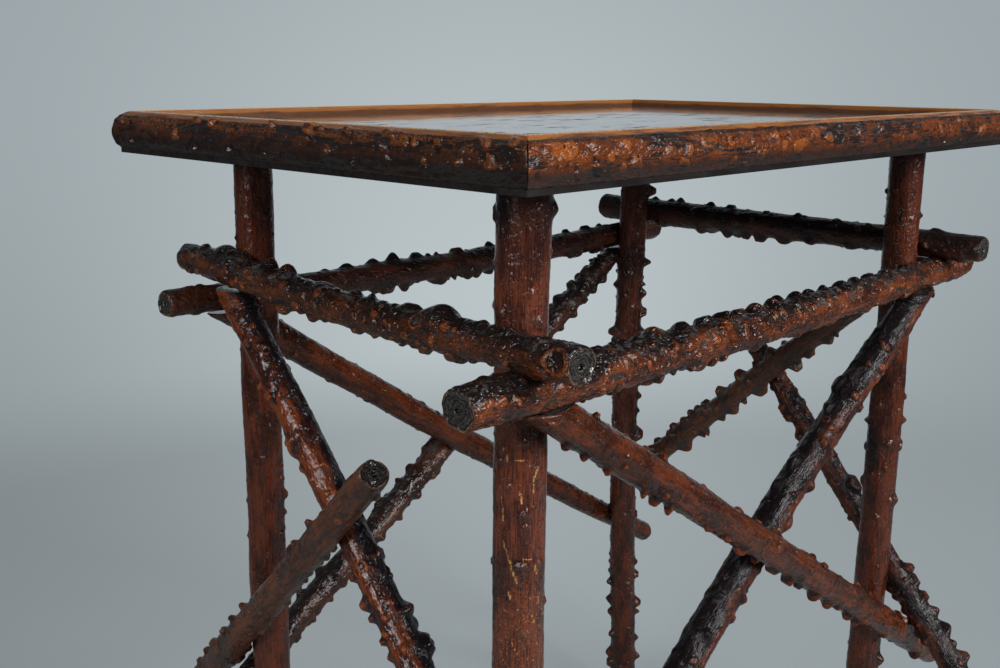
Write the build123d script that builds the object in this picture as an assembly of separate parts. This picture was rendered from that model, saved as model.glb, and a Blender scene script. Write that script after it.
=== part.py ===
from build123d import *
import math
import os

# Rustic side table: a tray-topped board rimmed with split branches, on four round legs that are
# tied on every side by a stretcher and two crossing braces, all of them whole knobbly branches.
# Millimetres. The origin is on the floor under the middle of the top, +X runs along the long
# side, +Y along the short side and +Z is up. "Front" is the -Y side and "left" the -X side.

# ---- top ----
TABLE_HEIGHT = 710.0        # floor to the rim's upper edge
TOP_LENGTH = 610.0          # between the rim's inner faces, along X
TOP_DEPTH = 400.0           # between the rim's inner faces, along Y
RIM_HEIGHT = 27.0           # split branch, upper edge to sawn underside
RIM_REACH = 12.0            # how far the split branch bulges out from its flat back
RIM_BELLY_DROP = 15.5       # upper edge down to the widest point of the bulge
TRAY_DEPTH = 7.0            # rim's upper edge down to the panel
PANEL_THICKNESS = 6.0
PANEL_GAP = 0.3             # play between the panel and the rim
BASE_THICKNESS = 17.6
TENON_RADIUS = 10.0
TENON_LENGTH = 12.0
TENON_PLAY = 0.1

# ---- legs ----
# From the rim's inner faces to a leg's middle at its top, how far its foot leans from there, and
# how far its middle bows aside, each along X and Y.
LEG_INSET = {"front_left": (54.0, 51.0), "back_left": (62.5, 59.5),
             "front_right": (53.0, 50.5), "back_right": (55.0, 51.0)}
LEG_LEAN = {"front_left": (0.0, 0.0), "back_left": (-2.5, 2.5),
            "front_right": (0.0, 0.0), "back_right": (4.0, -4.0)}
LEG_BOW = {"front_left": (-1.0, 1.0), "back_left": (0.0, 0.0),
           "front_right": (1.0, -1.0), "back_right": (-5.5, 5.5)}
LEG_RADIUS = {"front_left": 16.5, "back_left": 15.0, "front_right": 15.0, "back_right": 14.5}

# ---- joints between branches ----
LEG_SEAT = 2.4              # depth shared by the two flats where a branch lies on a leg
NOTCH_PLAY = 0.4            # each side of a notch
TRIM_GAP = 0.3              # sawn end of a brace to the stretcher above it
SAWN_REACH = 30.0           # along the stretcher, each way, that a sawn end may lie under
BRANCH_SPAN = 45.0          # a bowed branch is drawn as straight lengths of about this
NOTCH_REACH = 2.5           # a notch's cutter against the branch's radius
WASTE_WIDTH = 80.0          # block cut away above a brace's sawn end
WASTE_HEIGHT = 60.0
BEAD_SPACING = 6.0          # between the balls that stand for a branch when clearance is tested
CROSSING_STEPS = 12         # refinements of the place where two branches cross

# ---- knobs ----
KNOB_SPACING = 17.0
KNOB_TURN = 137.5           # degrees from one knob to the next round the branch
KNOB_FIRST_TURN = 47.0      # degrees by which one branch's knobs start after the last one's
KNOB_BASE_RADIUS = 4.6
KNOB_TIP_RADIUS = 2.4
KNOB_HEIGHTS = (4.2, 2.8, 3.6)
KNOB_ROOT = 2.5             # how deep a knob's base is sunk into the wood
KNOB_CLEARANCE = 2.0
RIM_KNOB_SPACING = 31.0
RIM_KNOB_RADIUS = 5.0
RIM_KNOB_HEIGHT = 1.5
RIM_KNOB_ANGLES = (-28.0, 34.0, 4.0)

# ---- nails, brads and screws ----
NAIL_RADIUS = 1.2
NAIL_HEAD_RADIUS = 2.6
NAIL_HEAD_THICKNESS = 1.0
NAIL_SET = 0.8              # head sunk below the bark
NAIL_PLAY = 0.05
NAIL_STOP = 4.0             # from the nail's point to the middle of the leg it holds
NAIL_EDGE = 4.5             # from a nail to the sawn end of the brace
BRAD_RADIUS = 0.8
BRAD_HEAD_RADIUS = 1.4
BRAD_HEAD_THICKNESS = 0.6
BRAD_SET = 0.5
BRAD_BITE = 13.0            # brad's length in the base board
BRAD_SPACING = 150.0
BRAD_CORNER_DISTANCE = 50.0
SCREW_RADIUS = 2.0
SCREW_HEAD_RADIUS = 4.0
SCREW_LENGTH = 42.0

# ---- heights worked out from the above ----
PANEL_TOP = TABLE_HEIGHT - TRAY_DEPTH
BASE_TOP = PANEL_TOP - PANEL_THICKNESS
BASE_UNDERSIDE = BASE_TOP - BASE_THICKNESS
RIM_UNDERSIDE = TABLE_HEIGHT - RIM_HEIGHT
BELLY_HEIGHT = TABLE_HEIGHT - RIM_BELLY_DROP
BRAD_HEIGHT = (BASE_TOP + RIM_UNDERSIDE) / 2
HALF_LENGTH = TOP_LENGTH / 2
HALF_DEPTH = TOP_DEPTH / 2

UP = Vector(0, 0, 1)
OUTWARD = {"left": Vector(-1, 0, 0), "right": Vector(1, 0, 0),
           "front": Vector(0, -1, 0), "back": Vector(0, 1, 0)}
ON_FACE = (Align.CENTER, Align.CENTER, Align.MIN)


class Branch:
    """A whole round branch. Its middle line runs straight from `a` (t = 0) to `b` (t = 1) and
    bows aside by `bow` times sin(pi t); its radius goes evenly from `radius_a` to `radius_b`.
    The wood itself reaches from t = `first` to t = `last`. Its ends are sawn square to the
    middle line, or level where it is upright."""

    def __init__(self, a, b, radius_a, radius_b, bow, first=0.0, last=1.0, upright=False):
        self.a = a
        self.b = b
        self.radius_a = radius_a
        self.radius_b = radius_b
        self.bow = bow
        self.first = first
        self.last = last
        self.upright = upright
        self.beads = [(tuple(self.centre(t)), self.radius(t)) for t in self.steps(BEAD_SPACING)]

    def centre(self, t):
        return self.a + (self.b - self.a) * t + self.bow * math.sin(math.pi * t)

    def speed(self, t):
        return self.b - self.a + self.bow * (math.pi * math.cos(math.pi * t))

    def radius(self, t):
        return self.radius_a + (self.radius_b - self.radius_a) * t

    def steps(self, spacing):
        """Values of t from end to end, about `spacing` apart along the branch."""
        length = (self.centre(self.last) - self.centre(self.first)).length
        count = max(2, round(length / spacing))
        return [self.first + (self.last - self.first) * step / count for step in range(count + 1)]

    def section(self, t):
        if self.upright:
            return Plane(origin=self.centre(t), x_dir=(1, 0, 0), z_dir=UP)
        return Plane(origin=self.centre(t), x_dir=UP.cross(self.b - self.a), z_dir=self.speed(t))

    def solid(self):
        circles = [self.section(t) * Circle(self.radius(t)) for t in self.steps(BRANCH_SPAN)]
        return loft(circles, ruled=True)

    def distance(self, point):
        """From a point to the bark, taken from balls strung along the branch."""
        return min(math.dist(middle, point) - radius for middle, radius in self.beads)


# ---- legs: from the floor to the shoulder under the base board ----

def leg_branch(name):
    inset_x, inset_y = LEG_INSET[name]
    x = (HALF_LENGTH - inset_x) * (-1 if "left" in name else 1)
    y = (HALF_DEPTH - inset_y) * (-1 if "front" in name else 1)
    lean_x, lean_y = LEG_LEAN[name]
    bow_x, bow_y = LEG_BOW[name]
    radius = LEG_RADIUS[name]
    return Branch(Vector(x + lean_x, y + lean_y, 0), Vector(x, y, BASE_UNDERSIDE), radius, radius,
                  Vector(bow_x, bow_y, 0), upright=True)


LEGS = {name: leg_branch(name) for name in LEG_INSET}


# ---- stretchers and braces: each lies on the outer faces of the two legs of its side ----

def cross_branch(side, leg_names, heights, radii, past_legs, bow=0.0, stand_off=(0.0, 0.0),
                 spring=0.0):
    """A branch over two legs of one side. `heights` are its middle's heights at the two legs,
    `past_legs` how far it runs on beyond their middles, `bow` its rise in the middle, `stand_off`
    its distance off each leg and `spring` how far its middle is sprung outward."""
    normal = OUTWARD[side]
    ends = []
    for leg_name, height, radius, off in zip(leg_names, heights, radii, stand_off):
        leg = LEGS[leg_name]
        on_leg = leg.centre(height / BASE_UNDERSIDE)
        ends.append(on_leg + normal * (leg.radius_a + radius - LEG_SEAT + off))
    between_legs = ((ends[1] - ends[0]) - UP * (ends[1] - ends[0]).dot(UP)).length
    return Branch(ends[0], ends[1], radii[0], radii[1], UP * bow + normal * spring,
                  first=-past_legs[0] / between_legs, last=1 + past_legs[1] / between_legs)


LEFT = ("left", ("front_left", "back_left"))
FRONT = ("front", ("front_left", "front_right"))
BACK = ("back", ("back_left", "back_right"))
RIGHT = ("right", ("front_right", "back_right"))

# The long stretchers lie under the short ones where their ends cross at the corners.
STRETCHERS = {
    "stretcher_left": cross_branch(*LEFT, (TABLE_HEIGHT - 124, TABLE_HEIGHT - 118), (11.6, 11.8),
                                   (70, 62), bow=-3.5),
    "stretcher_front": cross_branch(*FRONT, (TABLE_HEIGHT - 146, TABLE_HEIGHT - 145), (13.6, 12.6),
                                    (80, 78), bow=-3.0),
    "stretcher_back": cross_branch(*BACK, (TABLE_HEIGHT - 143, TABLE_HEIGHT - 146), (10.9, 12.5),
                                   (68, 74), bow=-4.0),
    "stretcher_right": cross_branch(*RIGHT, (TABLE_HEIGHT - 121, TABLE_HEIGHT - 119), (12.3, 13.6),
                                    (66, 60)),
}

# Each side has an inner brace and an outer one that passes over it.
INNER_BRACES = {
    "brace_left_inner": cross_branch(*LEFT, (267, TABLE_HEIGHT - 128), (11.8, 12.0), (75, 16),
                                     bow=-4.5, spring=-5),
    "brace_front_inner": cross_branch(*FRONT, (190, TABLE_HEIGHT - 153), (13.6, 13.0), (80, 16),
                                      bow=-16, spring=-19),
    "brace_back_inner": cross_branch(*BACK, (TABLE_HEIGHT - 160, 233), (12.6, 11.5), (16, 84),
                                     bow=-6, spring=-10),
    "brace_right_inner": cross_branch(*RIGHT, (TABLE_HEIGHT - 146, 285), (10.9, 10.9), (3, 24),
                                      bow=3.5, spring=-3),
}
OUTER_BRACES = {
    "brace_left_outer": cross_branch(*LEFT, (TABLE_HEIGHT - 137, 293), (10.4, 12.4), (-88, 108),
                                     stand_off=(30, 0)),
    "brace_front_outer": cross_branch(*FRONT, (TABLE_HEIGHT - 165, 217), (12.3, 13.4), (14, 97),
                                      spring=1),
    "brace_back_outer": cross_branch(*BACK, (239, TABLE_HEIGHT - 163), (11.4, 10.8), (107.2, 14),
                                     bow=-4, spring=6),
    "brace_right_outer": cross_branch(*RIGHT, (279, TABLE_HEIGHT - 114), (11.0, 10.2), (100, -112),
                                      bow=3.5, stand_off=(0, 36)),
}
BRACES = {**INNER_BRACES, **OUTER_BRACES}
BRANCHES = {**LEGS, **STRETCHERS, **BRACES}

# Where each brace's upper end is sawn off under a stretcher: brace, stretcher, t at that leg.
SAWN_ENDS = {
    "brace_left_inner": ("stretcher_left", 1),
    "brace_front_inner": ("stretcher_front", 1),
    "brace_back_inner": ("stretcher_back", 0),
    "brace_right_inner": ("stretcher_right", 0),
    "brace_front_outer": ("stretcher_front", 0),
    "brace_back_outer": ("stretcher_back", 1),
}
FREE_UPPER_ENDS = {"brace_left_outer": 0, "brace_right_outer": 1}


def side_of(name):
    return name.split("_")[1]


def sawn_height(name):
    """Just under the lowest bark of the stretcher above the brace's end."""
    stretcher_name, t = SAWN_ENDS[name]
    stretcher = STRETCHERS[stretcher_name]
    reach = SAWN_REACH / (stretcher.b - stretcher.a).length
    undersides = [stretcher.centre(near).Z - stretcher.radius(near)
                  for near in (t - reach, t, t + reach)]
    return min(undersides) - TRIM_GAP


pieces = {name: branch.solid() for name, branch in BRANCHES.items()}


# ---- seats, notches and sawn ends ----

def cut(name, tool):
    pieces[name] = pieces[name] - tool


def flatten(name, face, along, other_radius, outside):
    """Cut a notch as wide as the other branch, which runs `along`, from the shared face outward."""
    place = Plane(origin=face, x_dir=along, z_dir=outside)
    reach = NOTCH_REACH * BRANCHES[name].radius_a
    cut(name, place * Box(2 * reach, 2 * (other_radius + NOTCH_PLAY), reach, align=ON_FACE))


def seat(inner_name, inner_t, outer_name, outer_t, normal):
    """Let two crossing branches into each other, half the depth each, where they would overlap.
    Returns True where they touch."""
    inner = BRANCHES[inner_name]
    outer = BRANCHES[outer_name]
    inner_top = inner.centre(inner_t).dot(normal) + inner.radius(inner_t)
    outer_bottom = outer.centre(outer_t).dot(normal) - outer.radius(outer_t)
    if outer_bottom >= inner_top:
        return False
    middle = inner.centre(inner_t)
    face = middle + normal * ((inner_top + outer_bottom) / 2 - middle.dot(normal))
    inner_along = inner.speed(inner_t) - normal * inner.speed(inner_t).dot(normal)
    outer_along = outer.speed(outer_t) - normal * outer.speed(outer_t).dot(normal)
    flatten(inner_name, face, outer_along, outer.radius(outer_t), normal)
    flatten(outer_name, face, inner_along, inner.radius(inner_t), -normal)
    return True


def crossing(one, other, normal):
    """t on each of two branches where one passes over the other, seen along the normal."""
    t_one = 0.5
    t_other = 0.5
    for _ in range(CROSSING_STEPS):
        between = other.centre(t_other) - one.centre(t_one)
        slant = one.speed(t_one).cross(other.speed(t_other)).dot(normal)
        step_one = between.cross(other.speed(t_other)).dot(normal) / slant
        step_other = between.cross(one.speed(t_one)).dot(normal) / slant
        t_one += step_one
        t_other += step_other
    return t_one, t_other


nail_heads = []             # points on the bark that knobs keep away from
nails = {"stretcher_nails": [], "brace_nails": []}


def headed_nail(top, inward, length, radius, head_radius, head_thickness, head_set):
    """A headed nail whose head's top is `head_set` below the point `top`, and its hole."""
    place = Plane(origin=top + inward * head_set, z_dir=inward)
    shank = place * Cylinder(radius, length, align=ON_FACE)
    head = place * Cylinder(head_radius, head_thickness, align=ON_FACE)
    hole = place * Cylinder(radius + NAIL_PLAY, length + NAIL_PLAY, align=ON_FACE)
    sink = Plane(origin=place.origin + inward * (head_thickness + NAIL_PLAY), z_dir=-inward)
    mouth = sink * Cylinder(head_radius + NAIL_PLAY, head_thickness + head_set + 2 * head_radius,
                            align=ON_FACE)
    return shank + head, hole + mouth


def nail_through(outer_name, outer_t, inner_name, point, stop, normal, group):
    """Nail the outer branch to the inner one at a point, with its tip at the height `stop`
    measured along the normal."""
    outer = BRANCHES[outer_name]
    axis = outer.centre(outer_t)
    along = outer.speed(outer_t).normalized()
    aside = (point - axis) - normal * (point - axis).dot(normal)
    aside = (aside - along * aside.dot(along)).length
    bark = axis.dot(normal) + math.sqrt(outer.radius(outer_t) ** 2 - aside ** 2)
    top = point + normal * (bark - point.dot(normal))
    nail, hole = headed_nail(top, -normal, bark - NAIL_SET - stop, NAIL_RADIUS, NAIL_HEAD_RADIUS,
                             NAIL_HEAD_THICKNESS, NAIL_SET)
    nails[group].append(nail)
    nail_heads.append(top)
    cut(outer_name, hole)
    cut(inner_name, hole)


def fasten_to_leg(name, t, leg_name, group):
    """Seat a stretcher or brace on a leg's outer face and nail it there."""
    branch = BRANCHES[name]
    leg = LEGS[leg_name]
    normal = OUTWARD[side_of(name)]
    height = branch.centre(t).Z
    leg_t = height / BASE_UNDERSIDE
    seat(leg_name, leg_t, name, t, normal)
    if name in SAWN_ENDS and SAWN_ENDS[name][1] == t:
        height = min(height, sawn_height(name) - NAIL_EDGE)
    leg_middle = leg.centre(height / BASE_UNDERSIDE)
    nail_through(name, t, leg_name, leg_middle, leg_middle.dot(normal) + NAIL_STOP, normal, group)


SIDES = {"left": LEFT, "front": FRONT, "back": BACK, "right": RIGHT}

for name in STRETCHERS:
    for t, leg_name in enumerate(SIDES[side_of(name)][1]):
        fasten_to_leg(name, t, leg_name, "stretcher_nails")

for name in BRACES:
    for t, leg_name in enumerate(SIDES[side_of(name)][1]):
        if FREE_UPPER_ENDS.get(name) != t:
            fasten_to_leg(name, t, leg_name, "brace_nails")

for side, normal in OUTWARD.items():
    inner_name = f"brace_{side}_inner"
    outer_name = f"brace_{side}_outer"
    inner = BRACES[inner_name]
    inner_t, outer_t = crossing(inner, BRACES[outer_name], normal)
    seat(inner_name, inner_t, outer_name, outer_t, normal)
    stop = inner.centre(inner_t).dot(normal) - NAIL_STOP
    nail_through(outer_name, outer_t, inner_name, inner.centre(inner_t), stop, normal, "brace_nails")

for long_side in ("front", "back"):
    for short_side in ("left", "right"):
        lower = STRETCHERS[f"stretcher_{long_side}"]
        upper = STRETCHERS[f"stretcher_{short_side}"]
        lower_t, upper_t = crossing(lower, upper, UP)
        seat(f"stretcher_{long_side}", lower_t, f"stretcher_{short_side}", upper_t, UP)

for name, (stretcher_name, t) in SAWN_ENDS.items():
    branch = BRACES[name]
    end = branch.centre(t)
    waste = Pos(end.X, end.Y, sawn_height(name)) * Box(WASTE_WIDTH, WASTE_WIDTH, WASTE_HEIGHT,
                                                       align=ON_FACE)
    cut(name, waste)


# ---- knobs: stubs of side shoots, winding round every branch ----

def knob_is_clear(name, root, tip):
    for other_name, other in BRANCHES.items():
        if other_name != name and other.distance(tuple(tip)) < KNOB_TIP_RADIUS + KNOB_CLEARANCE:
            return False
    for head in nail_heads:
        if (head - root).length < KNOB_BASE_RADIUS + NAIL_HEAD_RADIUS + KNOB_CLEARANCE:
            return False
    ceiling = sawn_height(name) if name in SAWN_ENDS else BASE_UNDERSIDE
    return max(root.Z, tip.Z) < ceiling - KNOB_BASE_RADIUS - KNOB_CLEARANCE


def knobs(name, first_turn):
    branch = BRANCHES[name]
    stubs = []
    for number, t in enumerate(branch.steps(KNOB_SPACING)[1:-1]):
        section = branch.section(t)
        angle = math.radians(first_turn + number * KNOB_TURN)
        out = section.x_dir * math.cos(angle) + section.y_dir * math.sin(angle)
        height = KNOB_HEIGHTS[number % len(KNOB_HEIGHTS)]
        root = branch.centre(t) + out * branch.radius(t)
        if knob_is_clear(name, root, root + out * height):
            place = Plane(origin=root - out * KNOB_ROOT, z_dir=out)
            stubs.append(place * Cone(KNOB_BASE_RADIUS, KNOB_TIP_RADIUS, KNOB_ROOT + height,
                                      align=ON_FACE))
    return stubs


for number, name in enumerate(BRANCHES):
    pieces[name] += knobs(name, number * KNOB_FIRST_TURN)


# ---- top ----

def leg_tenon(leg):
    return Pos(leg.b.X, leg.b.Y, BASE_UNDERSIDE) * Cylinder(TENON_RADIUS, TENON_LENGTH,
                                                            align=ON_FACE)


def base_board():
    """A board with a tongue round its lower edge that the split branches stand on."""
    lip_thickness = RIM_UNDERSIDE - BASE_UNDERSIDE
    lip_reach = rim_curve(RIM_UNDERSIDE)
    board = Pos(0, 0, BASE_UNDERSIDE) * Box(TOP_LENGTH, TOP_DEPTH, BASE_THICKNESS, align=ON_FACE)
    board += Pos(0, 0, BASE_UNDERSIDE) * Box(TOP_LENGTH + 2 * lip_reach, TOP_DEPTH + 2 * lip_reach,
                                             lip_thickness, align=ON_FACE)
    for leg in LEGS.values():
        board -= Pos(leg.b.X, leg.b.Y, BASE_UNDERSIDE) * Cylinder(
            TENON_RADIUS + TENON_PLAY, TENON_LENGTH + TENON_PLAY, align=ON_FACE)
    return board


def top_panel():
    return Pos(0, 0, BASE_TOP) * Box(TOP_LENGTH - 2 * PANEL_GAP, TOP_DEPTH - 2 * PANEL_GAP,
                                     PANEL_THICKNESS, align=ON_FACE)


def rim_curve(height):
    """How far the split branch stands out from its back at a height: an ellipse."""
    rise = (height - BELLY_HEIGHT) / RIM_BELLY_DROP
    return RIM_REACH * math.sqrt(max(0.0, 1 - rise ** 2))


def rim_section(back):
    """The split branch's section in the YZ plane, with its flat back at y = -back."""
    middle = Pos(-back, BELLY_HEIGHT)
    ellipse = middle * Ellipse(RIM_REACH, RIM_BELLY_DROP)
    window = Pos(-back, RIM_UNDERSIDE) * Rectangle(RIM_REACH, RIM_HEIGHT,
                                                   align=(Align.MAX, Align.MIN))
    return Plane.YZ * (ellipse & window)


def rim_branch(run, back, first_turn):
    """A split branch along the -Y side, `run` long between its inner corners, with mitred ends,
    low knobs on its bulge, and its brad holes and brads."""
    half = run / 2 + RIM_REACH
    branch = Pos(-half, 0, 0) * extrude(rim_section(back), amount=2 * half, dir=(1, 0, 0))
    steps = round(run / RIM_KNOB_SPACING)
    for step in range(1, steps):
        angle = math.radians(RIM_KNOB_ANGLES[(step + first_turn) % len(RIM_KNOB_ANGLES)])
        inside = RIM_KNOB_RADIUS - RIM_KNOB_HEIGHT
        x = -run / 2 + run * step / steps
        y = -back - (RIM_REACH - inside) * math.cos(angle)
        z = BELLY_HEIGHT + (RIM_BELLY_DROP - inside) * math.sin(angle)
        above_brads = z - BRAD_HEIGHT > RIM_KNOB_RADIUS + BRAD_HEAD_RADIUS
        if above_brads or brad_distance(x, run) > RIM_KNOB_RADIUS:
            branch += Pos(x, y, z) * Sphere(RIM_KNOB_RADIUS)
    reach = RIM_REACH + RIM_KNOB_HEIGHT
    outline = Polyline((-run / 2, -back), (run / 2, -back), (run / 2 + reach, -back - reach),
                       (-run / 2 - reach, -back - reach), close=True)
    mitres = Pos(0, 0, RIM_UNDERSIDE) * extrude(make_face(outline), amount=RIM_HEIGHT, dir=UP)
    return branch & mitres


def brad_places(run):
    free = run - 2 * BRAD_CORNER_DISTANCE
    count = max(1, round(free / BRAD_SPACING))
    return [-free / 2 + free * step / count for step in range(count + 1)]


def brad_distance(x, run):
    return min(abs(x - place) for place in brad_places(run))


pieces["base_board"] = base_board()
pieces["top_panel"] = top_panel()

# Side, length between the inner corners, and distance of the flat back from the table's middle,
# a quarter turn from one to the next.
RIM_RUNS = (("front", TOP_LENGTH, HALF_DEPTH), ("right", TOP_DEPTH, HALF_LENGTH),
            ("back", TOP_LENGTH, HALF_DEPTH), ("left", TOP_DEPTH, HALF_LENGTH))

brads = []
for turn, (side, run, back) in enumerate(RIM_RUNS):
    name = f"rim_{side}"
    rim = rim_branch(run, back, turn)
    holes = []
    for x in brad_places(run):
        top = Vector(x, -back - rim_curve(BRAD_HEIGHT), BRAD_HEIGHT)
        length = rim_curve(BRAD_HEIGHT) - BRAD_SET + BRAD_BITE
        brad, hole = headed_nail(top, Vector(0, 1, 0), length, BRAD_RADIUS, BRAD_HEAD_RADIUS,
                                 BRAD_HEAD_THICKNESS, BRAD_SET)
        brads.append(Rot(0, 0, 90 * turn) * brad)
        holes.append(hole)
    for hole in holes:
        rim -= hole
    pieces[name] = Rot(0, 0, 90 * turn) * rim
    for hole in holes:
        cut("base_board", Rot(0, 0, 90 * turn) * hole)

for name, leg in LEGS.items():
    pieces[name] = pieces[name] + leg_tenon(leg)

# ---- countersunk screws down through the base board into the legs ----

screws = []
for name, leg in LEGS.items():
    place = Plane(origin=(leg.b.X, leg.b.Y, BASE_TOP), z_dir=(0, 0, -1))
    head_height = SCREW_HEAD_RADIUS - SCREW_RADIUS
    screw = place * Cylinder(SCREW_RADIUS, SCREW_LENGTH, align=ON_FACE)
    screw += place * Cone(SCREW_HEAD_RADIUS, SCREW_RADIUS, head_height, align=ON_FACE)
    hole = place * Cylinder(SCREW_RADIUS + NAIL_PLAY, SCREW_LENGTH + NAIL_PLAY, align=ON_FACE)
    hole += place * Cone(SCREW_HEAD_RADIUS + NAIL_PLAY, SCREW_RADIUS + NAIL_PLAY, head_height,
                         align=ON_FACE)
    screws.append(screw)
    cut("base_board", hole)
    cut(name, hole)

for name, leg in LEGS.items():
    pieces[f"leg_{name}"] = pieces.pop(name)
pieces["rim_brads"] = Compound(children=brads)
pieces["leg_screws"] = Compound(children=screws)
for group, made in nails.items():
    pieces[group] = Compound(children=made)

os.makedirs("parts", exist_ok=True)
for name, piece in pieces.items():
    export_step(piece, f"parts/{name}.step")
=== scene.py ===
import math

import bpy
import numpy as np
from mathutils import Matrix


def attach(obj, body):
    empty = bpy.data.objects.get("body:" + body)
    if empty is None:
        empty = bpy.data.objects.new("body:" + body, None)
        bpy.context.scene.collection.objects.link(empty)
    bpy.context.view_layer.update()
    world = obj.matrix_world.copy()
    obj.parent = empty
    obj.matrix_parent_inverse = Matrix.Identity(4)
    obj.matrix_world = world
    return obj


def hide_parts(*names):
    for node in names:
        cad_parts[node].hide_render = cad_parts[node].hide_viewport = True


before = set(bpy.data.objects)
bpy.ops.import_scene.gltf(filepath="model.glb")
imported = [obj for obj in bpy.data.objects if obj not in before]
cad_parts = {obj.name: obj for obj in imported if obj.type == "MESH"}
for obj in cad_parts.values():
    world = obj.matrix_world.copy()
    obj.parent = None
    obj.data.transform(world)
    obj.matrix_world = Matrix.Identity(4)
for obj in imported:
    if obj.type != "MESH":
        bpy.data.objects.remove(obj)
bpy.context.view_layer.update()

# A rustic side table of knobbly branches under old gloss varnish. Lengths in the tables are in
# millimetres and angles in radians; meshes, materials, camera and lamps are in metres.
MM = 0.001
TABLE_HEIGHT = 710.0
HALF_LENGTH = 305.0
HALF_DEPTH = 200.0
RIM_HEIGHT = 27.0
RIM_REACH = 12.0
RIM_BELLY_DROP = 15.5
RIM_UNDERSIDE = TABLE_HEIGHT - RIM_HEIGHT
BELLY_HEIGHT = TABLE_HEIGHT - RIM_BELLY_DROP
BOARD_UNDERSIDE = 679.4
EAST, NORTH, UP = np.eye(3)

scene = bpy.context.scene
scene.view_settings.view_transform = "Standard"


# ---------------------------------------------------------------- camera

CAMERA_PLACE = (-0.72162, -0.58459, 0.74147)
CAMERA_TURNS = (44.008, 13.401, -0.369)
CAMERA_LENS = 39.915
SENSOR_WIDTH = 36.0
CLIP_START = 0.02


def set_up(made, across, up, back, place):
    """Stands a camera or a lamp at a place, looking against back."""
    matrix = np.eye(4)
    matrix[:3] = np.column_stack((across, up, back, place))
    made.matrix_world = Matrix(matrix.tolist())
    scene.collection.objects.link(made)


def make_camera():
    """Yaw, pitch and roll, in degrees, turn a level view along +X; lens and sensor are in mm."""
    yaw, pitch, roll = (math.radians(angle) for angle in CAMERA_TURNS)
    ahead = np.array((math.cos(yaw) * math.cos(pitch), math.sin(yaw) * math.cos(pitch),
                      -math.sin(pitch)))
    right = np.array((math.sin(yaw), -math.cos(yaw), 0.0))
    down = np.cross(ahead, right)
    right, down = (math.cos(roll) * right + math.sin(roll) * down,
                   -math.sin(roll) * right + math.cos(roll) * down)
    data = bpy.data.cameras.new("camera")
    data.sensor_width = SENSOR_WIDTH
    data.lens = CAMERA_LENS
    data.clip_start = CLIP_START
    camera = bpy.data.objects.new("camera", data)
    set_up(camera, right, -down, -ahead, CAMERA_PLACE)
    scene.camera = camera


make_camera()


# ---------------------------------------------------------------- shader nodes

class Wiring:
    """Adds nodes to one tree. Any input takes a number, a colour or another node's socket."""

    def __init__(self, tree):
        self.tree = tree

    def put(self, socket, value):
        """Links the socket to another one, or sets its value; a colour gets an alpha of 1."""
        if isinstance(value, bpy.types.NodeSocket):
            self.tree.links.new(value, socket)
        elif socket.type == "RGBA":
            socket.default_value = (*value, 1.0)
        else:
            socket.default_value = value

    def node(self, kind, inputs=(), **settings):
        made = self.tree.nodes.new(kind)
        for key, value in settings.items():
            setattr(made, key, value)
        for key, value in dict(inputs).items():
            self.put(made.inputs[key], value)
        return made

    def math(self, operation, first, second=0.0, clamp=False):
        return self.node("ShaderNodeMath", {0: first, 1: second}, operation=operation,
                         use_clamp=clamp).outputs[0]

    def product(self, first, second):
        return self.math("MULTIPLY", first, second)

    def plus(self, first, second):
        return self.math("ADD", first, second)

    def larger(self, first, second):
        return self.math("MAXIMUM", first, second)

    def total(self, *terms):
        """The sum of value x weight over (value, weight) pairs."""
        made = 0.0
        for value, weight in terms:
            made = self.node("ShaderNodeMath", {0: value, 1: weight, 2: made},
                             operation="MULTIPLY_ADD").outputs[0]
        return made

    def step(self, value, low, high, to_low=0.0, to_high=1.0):
        """Goes smoothly from to_low to to_high as the value goes from low to high."""
        return self.node("ShaderNodeMapRange",
                         {0: value, 1: low, 2: high, 3: to_low, 4: to_high},
                         interpolation_type="SMOOTHSTEP").outputs[0]

    def blend(self, factor, first, second):
        """A colour from the first, at 0, to the second, at 1."""
        return self.node("ShaderNodeMix", {0: factor, 6: first, 7: second}, data_type="RGBA",
                         blend_type="MIX").outputs[2]

    def between(self, factor, first, second):
        """A number from the first, at 0, to the second, at 1."""
        return self.node("ShaderNodeMix", {0: factor, 2: first, 3: second},
                         data_type="FLOAT").outputs[0]

    def attribute(self, name, output="Fac"):
        return self.node("ShaderNodeAttribute", attribute_name=name).outputs[output]

    def object_place(self):
        return self.node("ShaderNodeTexCoord").outputs["Object"]

    def upward(self, vector):
        """The vector's Z."""
        return self.node("ShaderNodeSeparateXYZ", {0: vector}).outputs["Z"]

    def stretch(self, vector, scale):
        return self.node("ShaderNodeVectorMath", {0: vector, 1: scale},
                         operation="MULTIPLY").outputs[0]

    def noise(self, vector, scale, detail=3.0, rough=0.55, distortion=0.0):
        return self.node("ShaderNodeTexNoise",
                         {"Vector": vector, "Scale": scale, "Detail": detail,
                          "Roughness": rough, "Distortion": distortion}).outputs["Fac"]

    def cells(self, vector, scale):
        """How far the nearest of many scattered points is."""
        return self.node("ShaderNodeTexVoronoi",
                         {"Vector": vector, "Scale": scale}).outputs["Distance"]

    def bump(self, height, distance, strength=1.0):
        return self.node("ShaderNodeBump", {"Strength": strength, "Distance": distance,
                                            "Height": height}).outputs[0]

    def group(self, tree, inputs):
        return self.node("ShaderNodeGroup", inputs, node_tree=tree).outputs


FLOAT = "NodeSocketFloat"
VECTOR = "NodeSocketVector"


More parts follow.
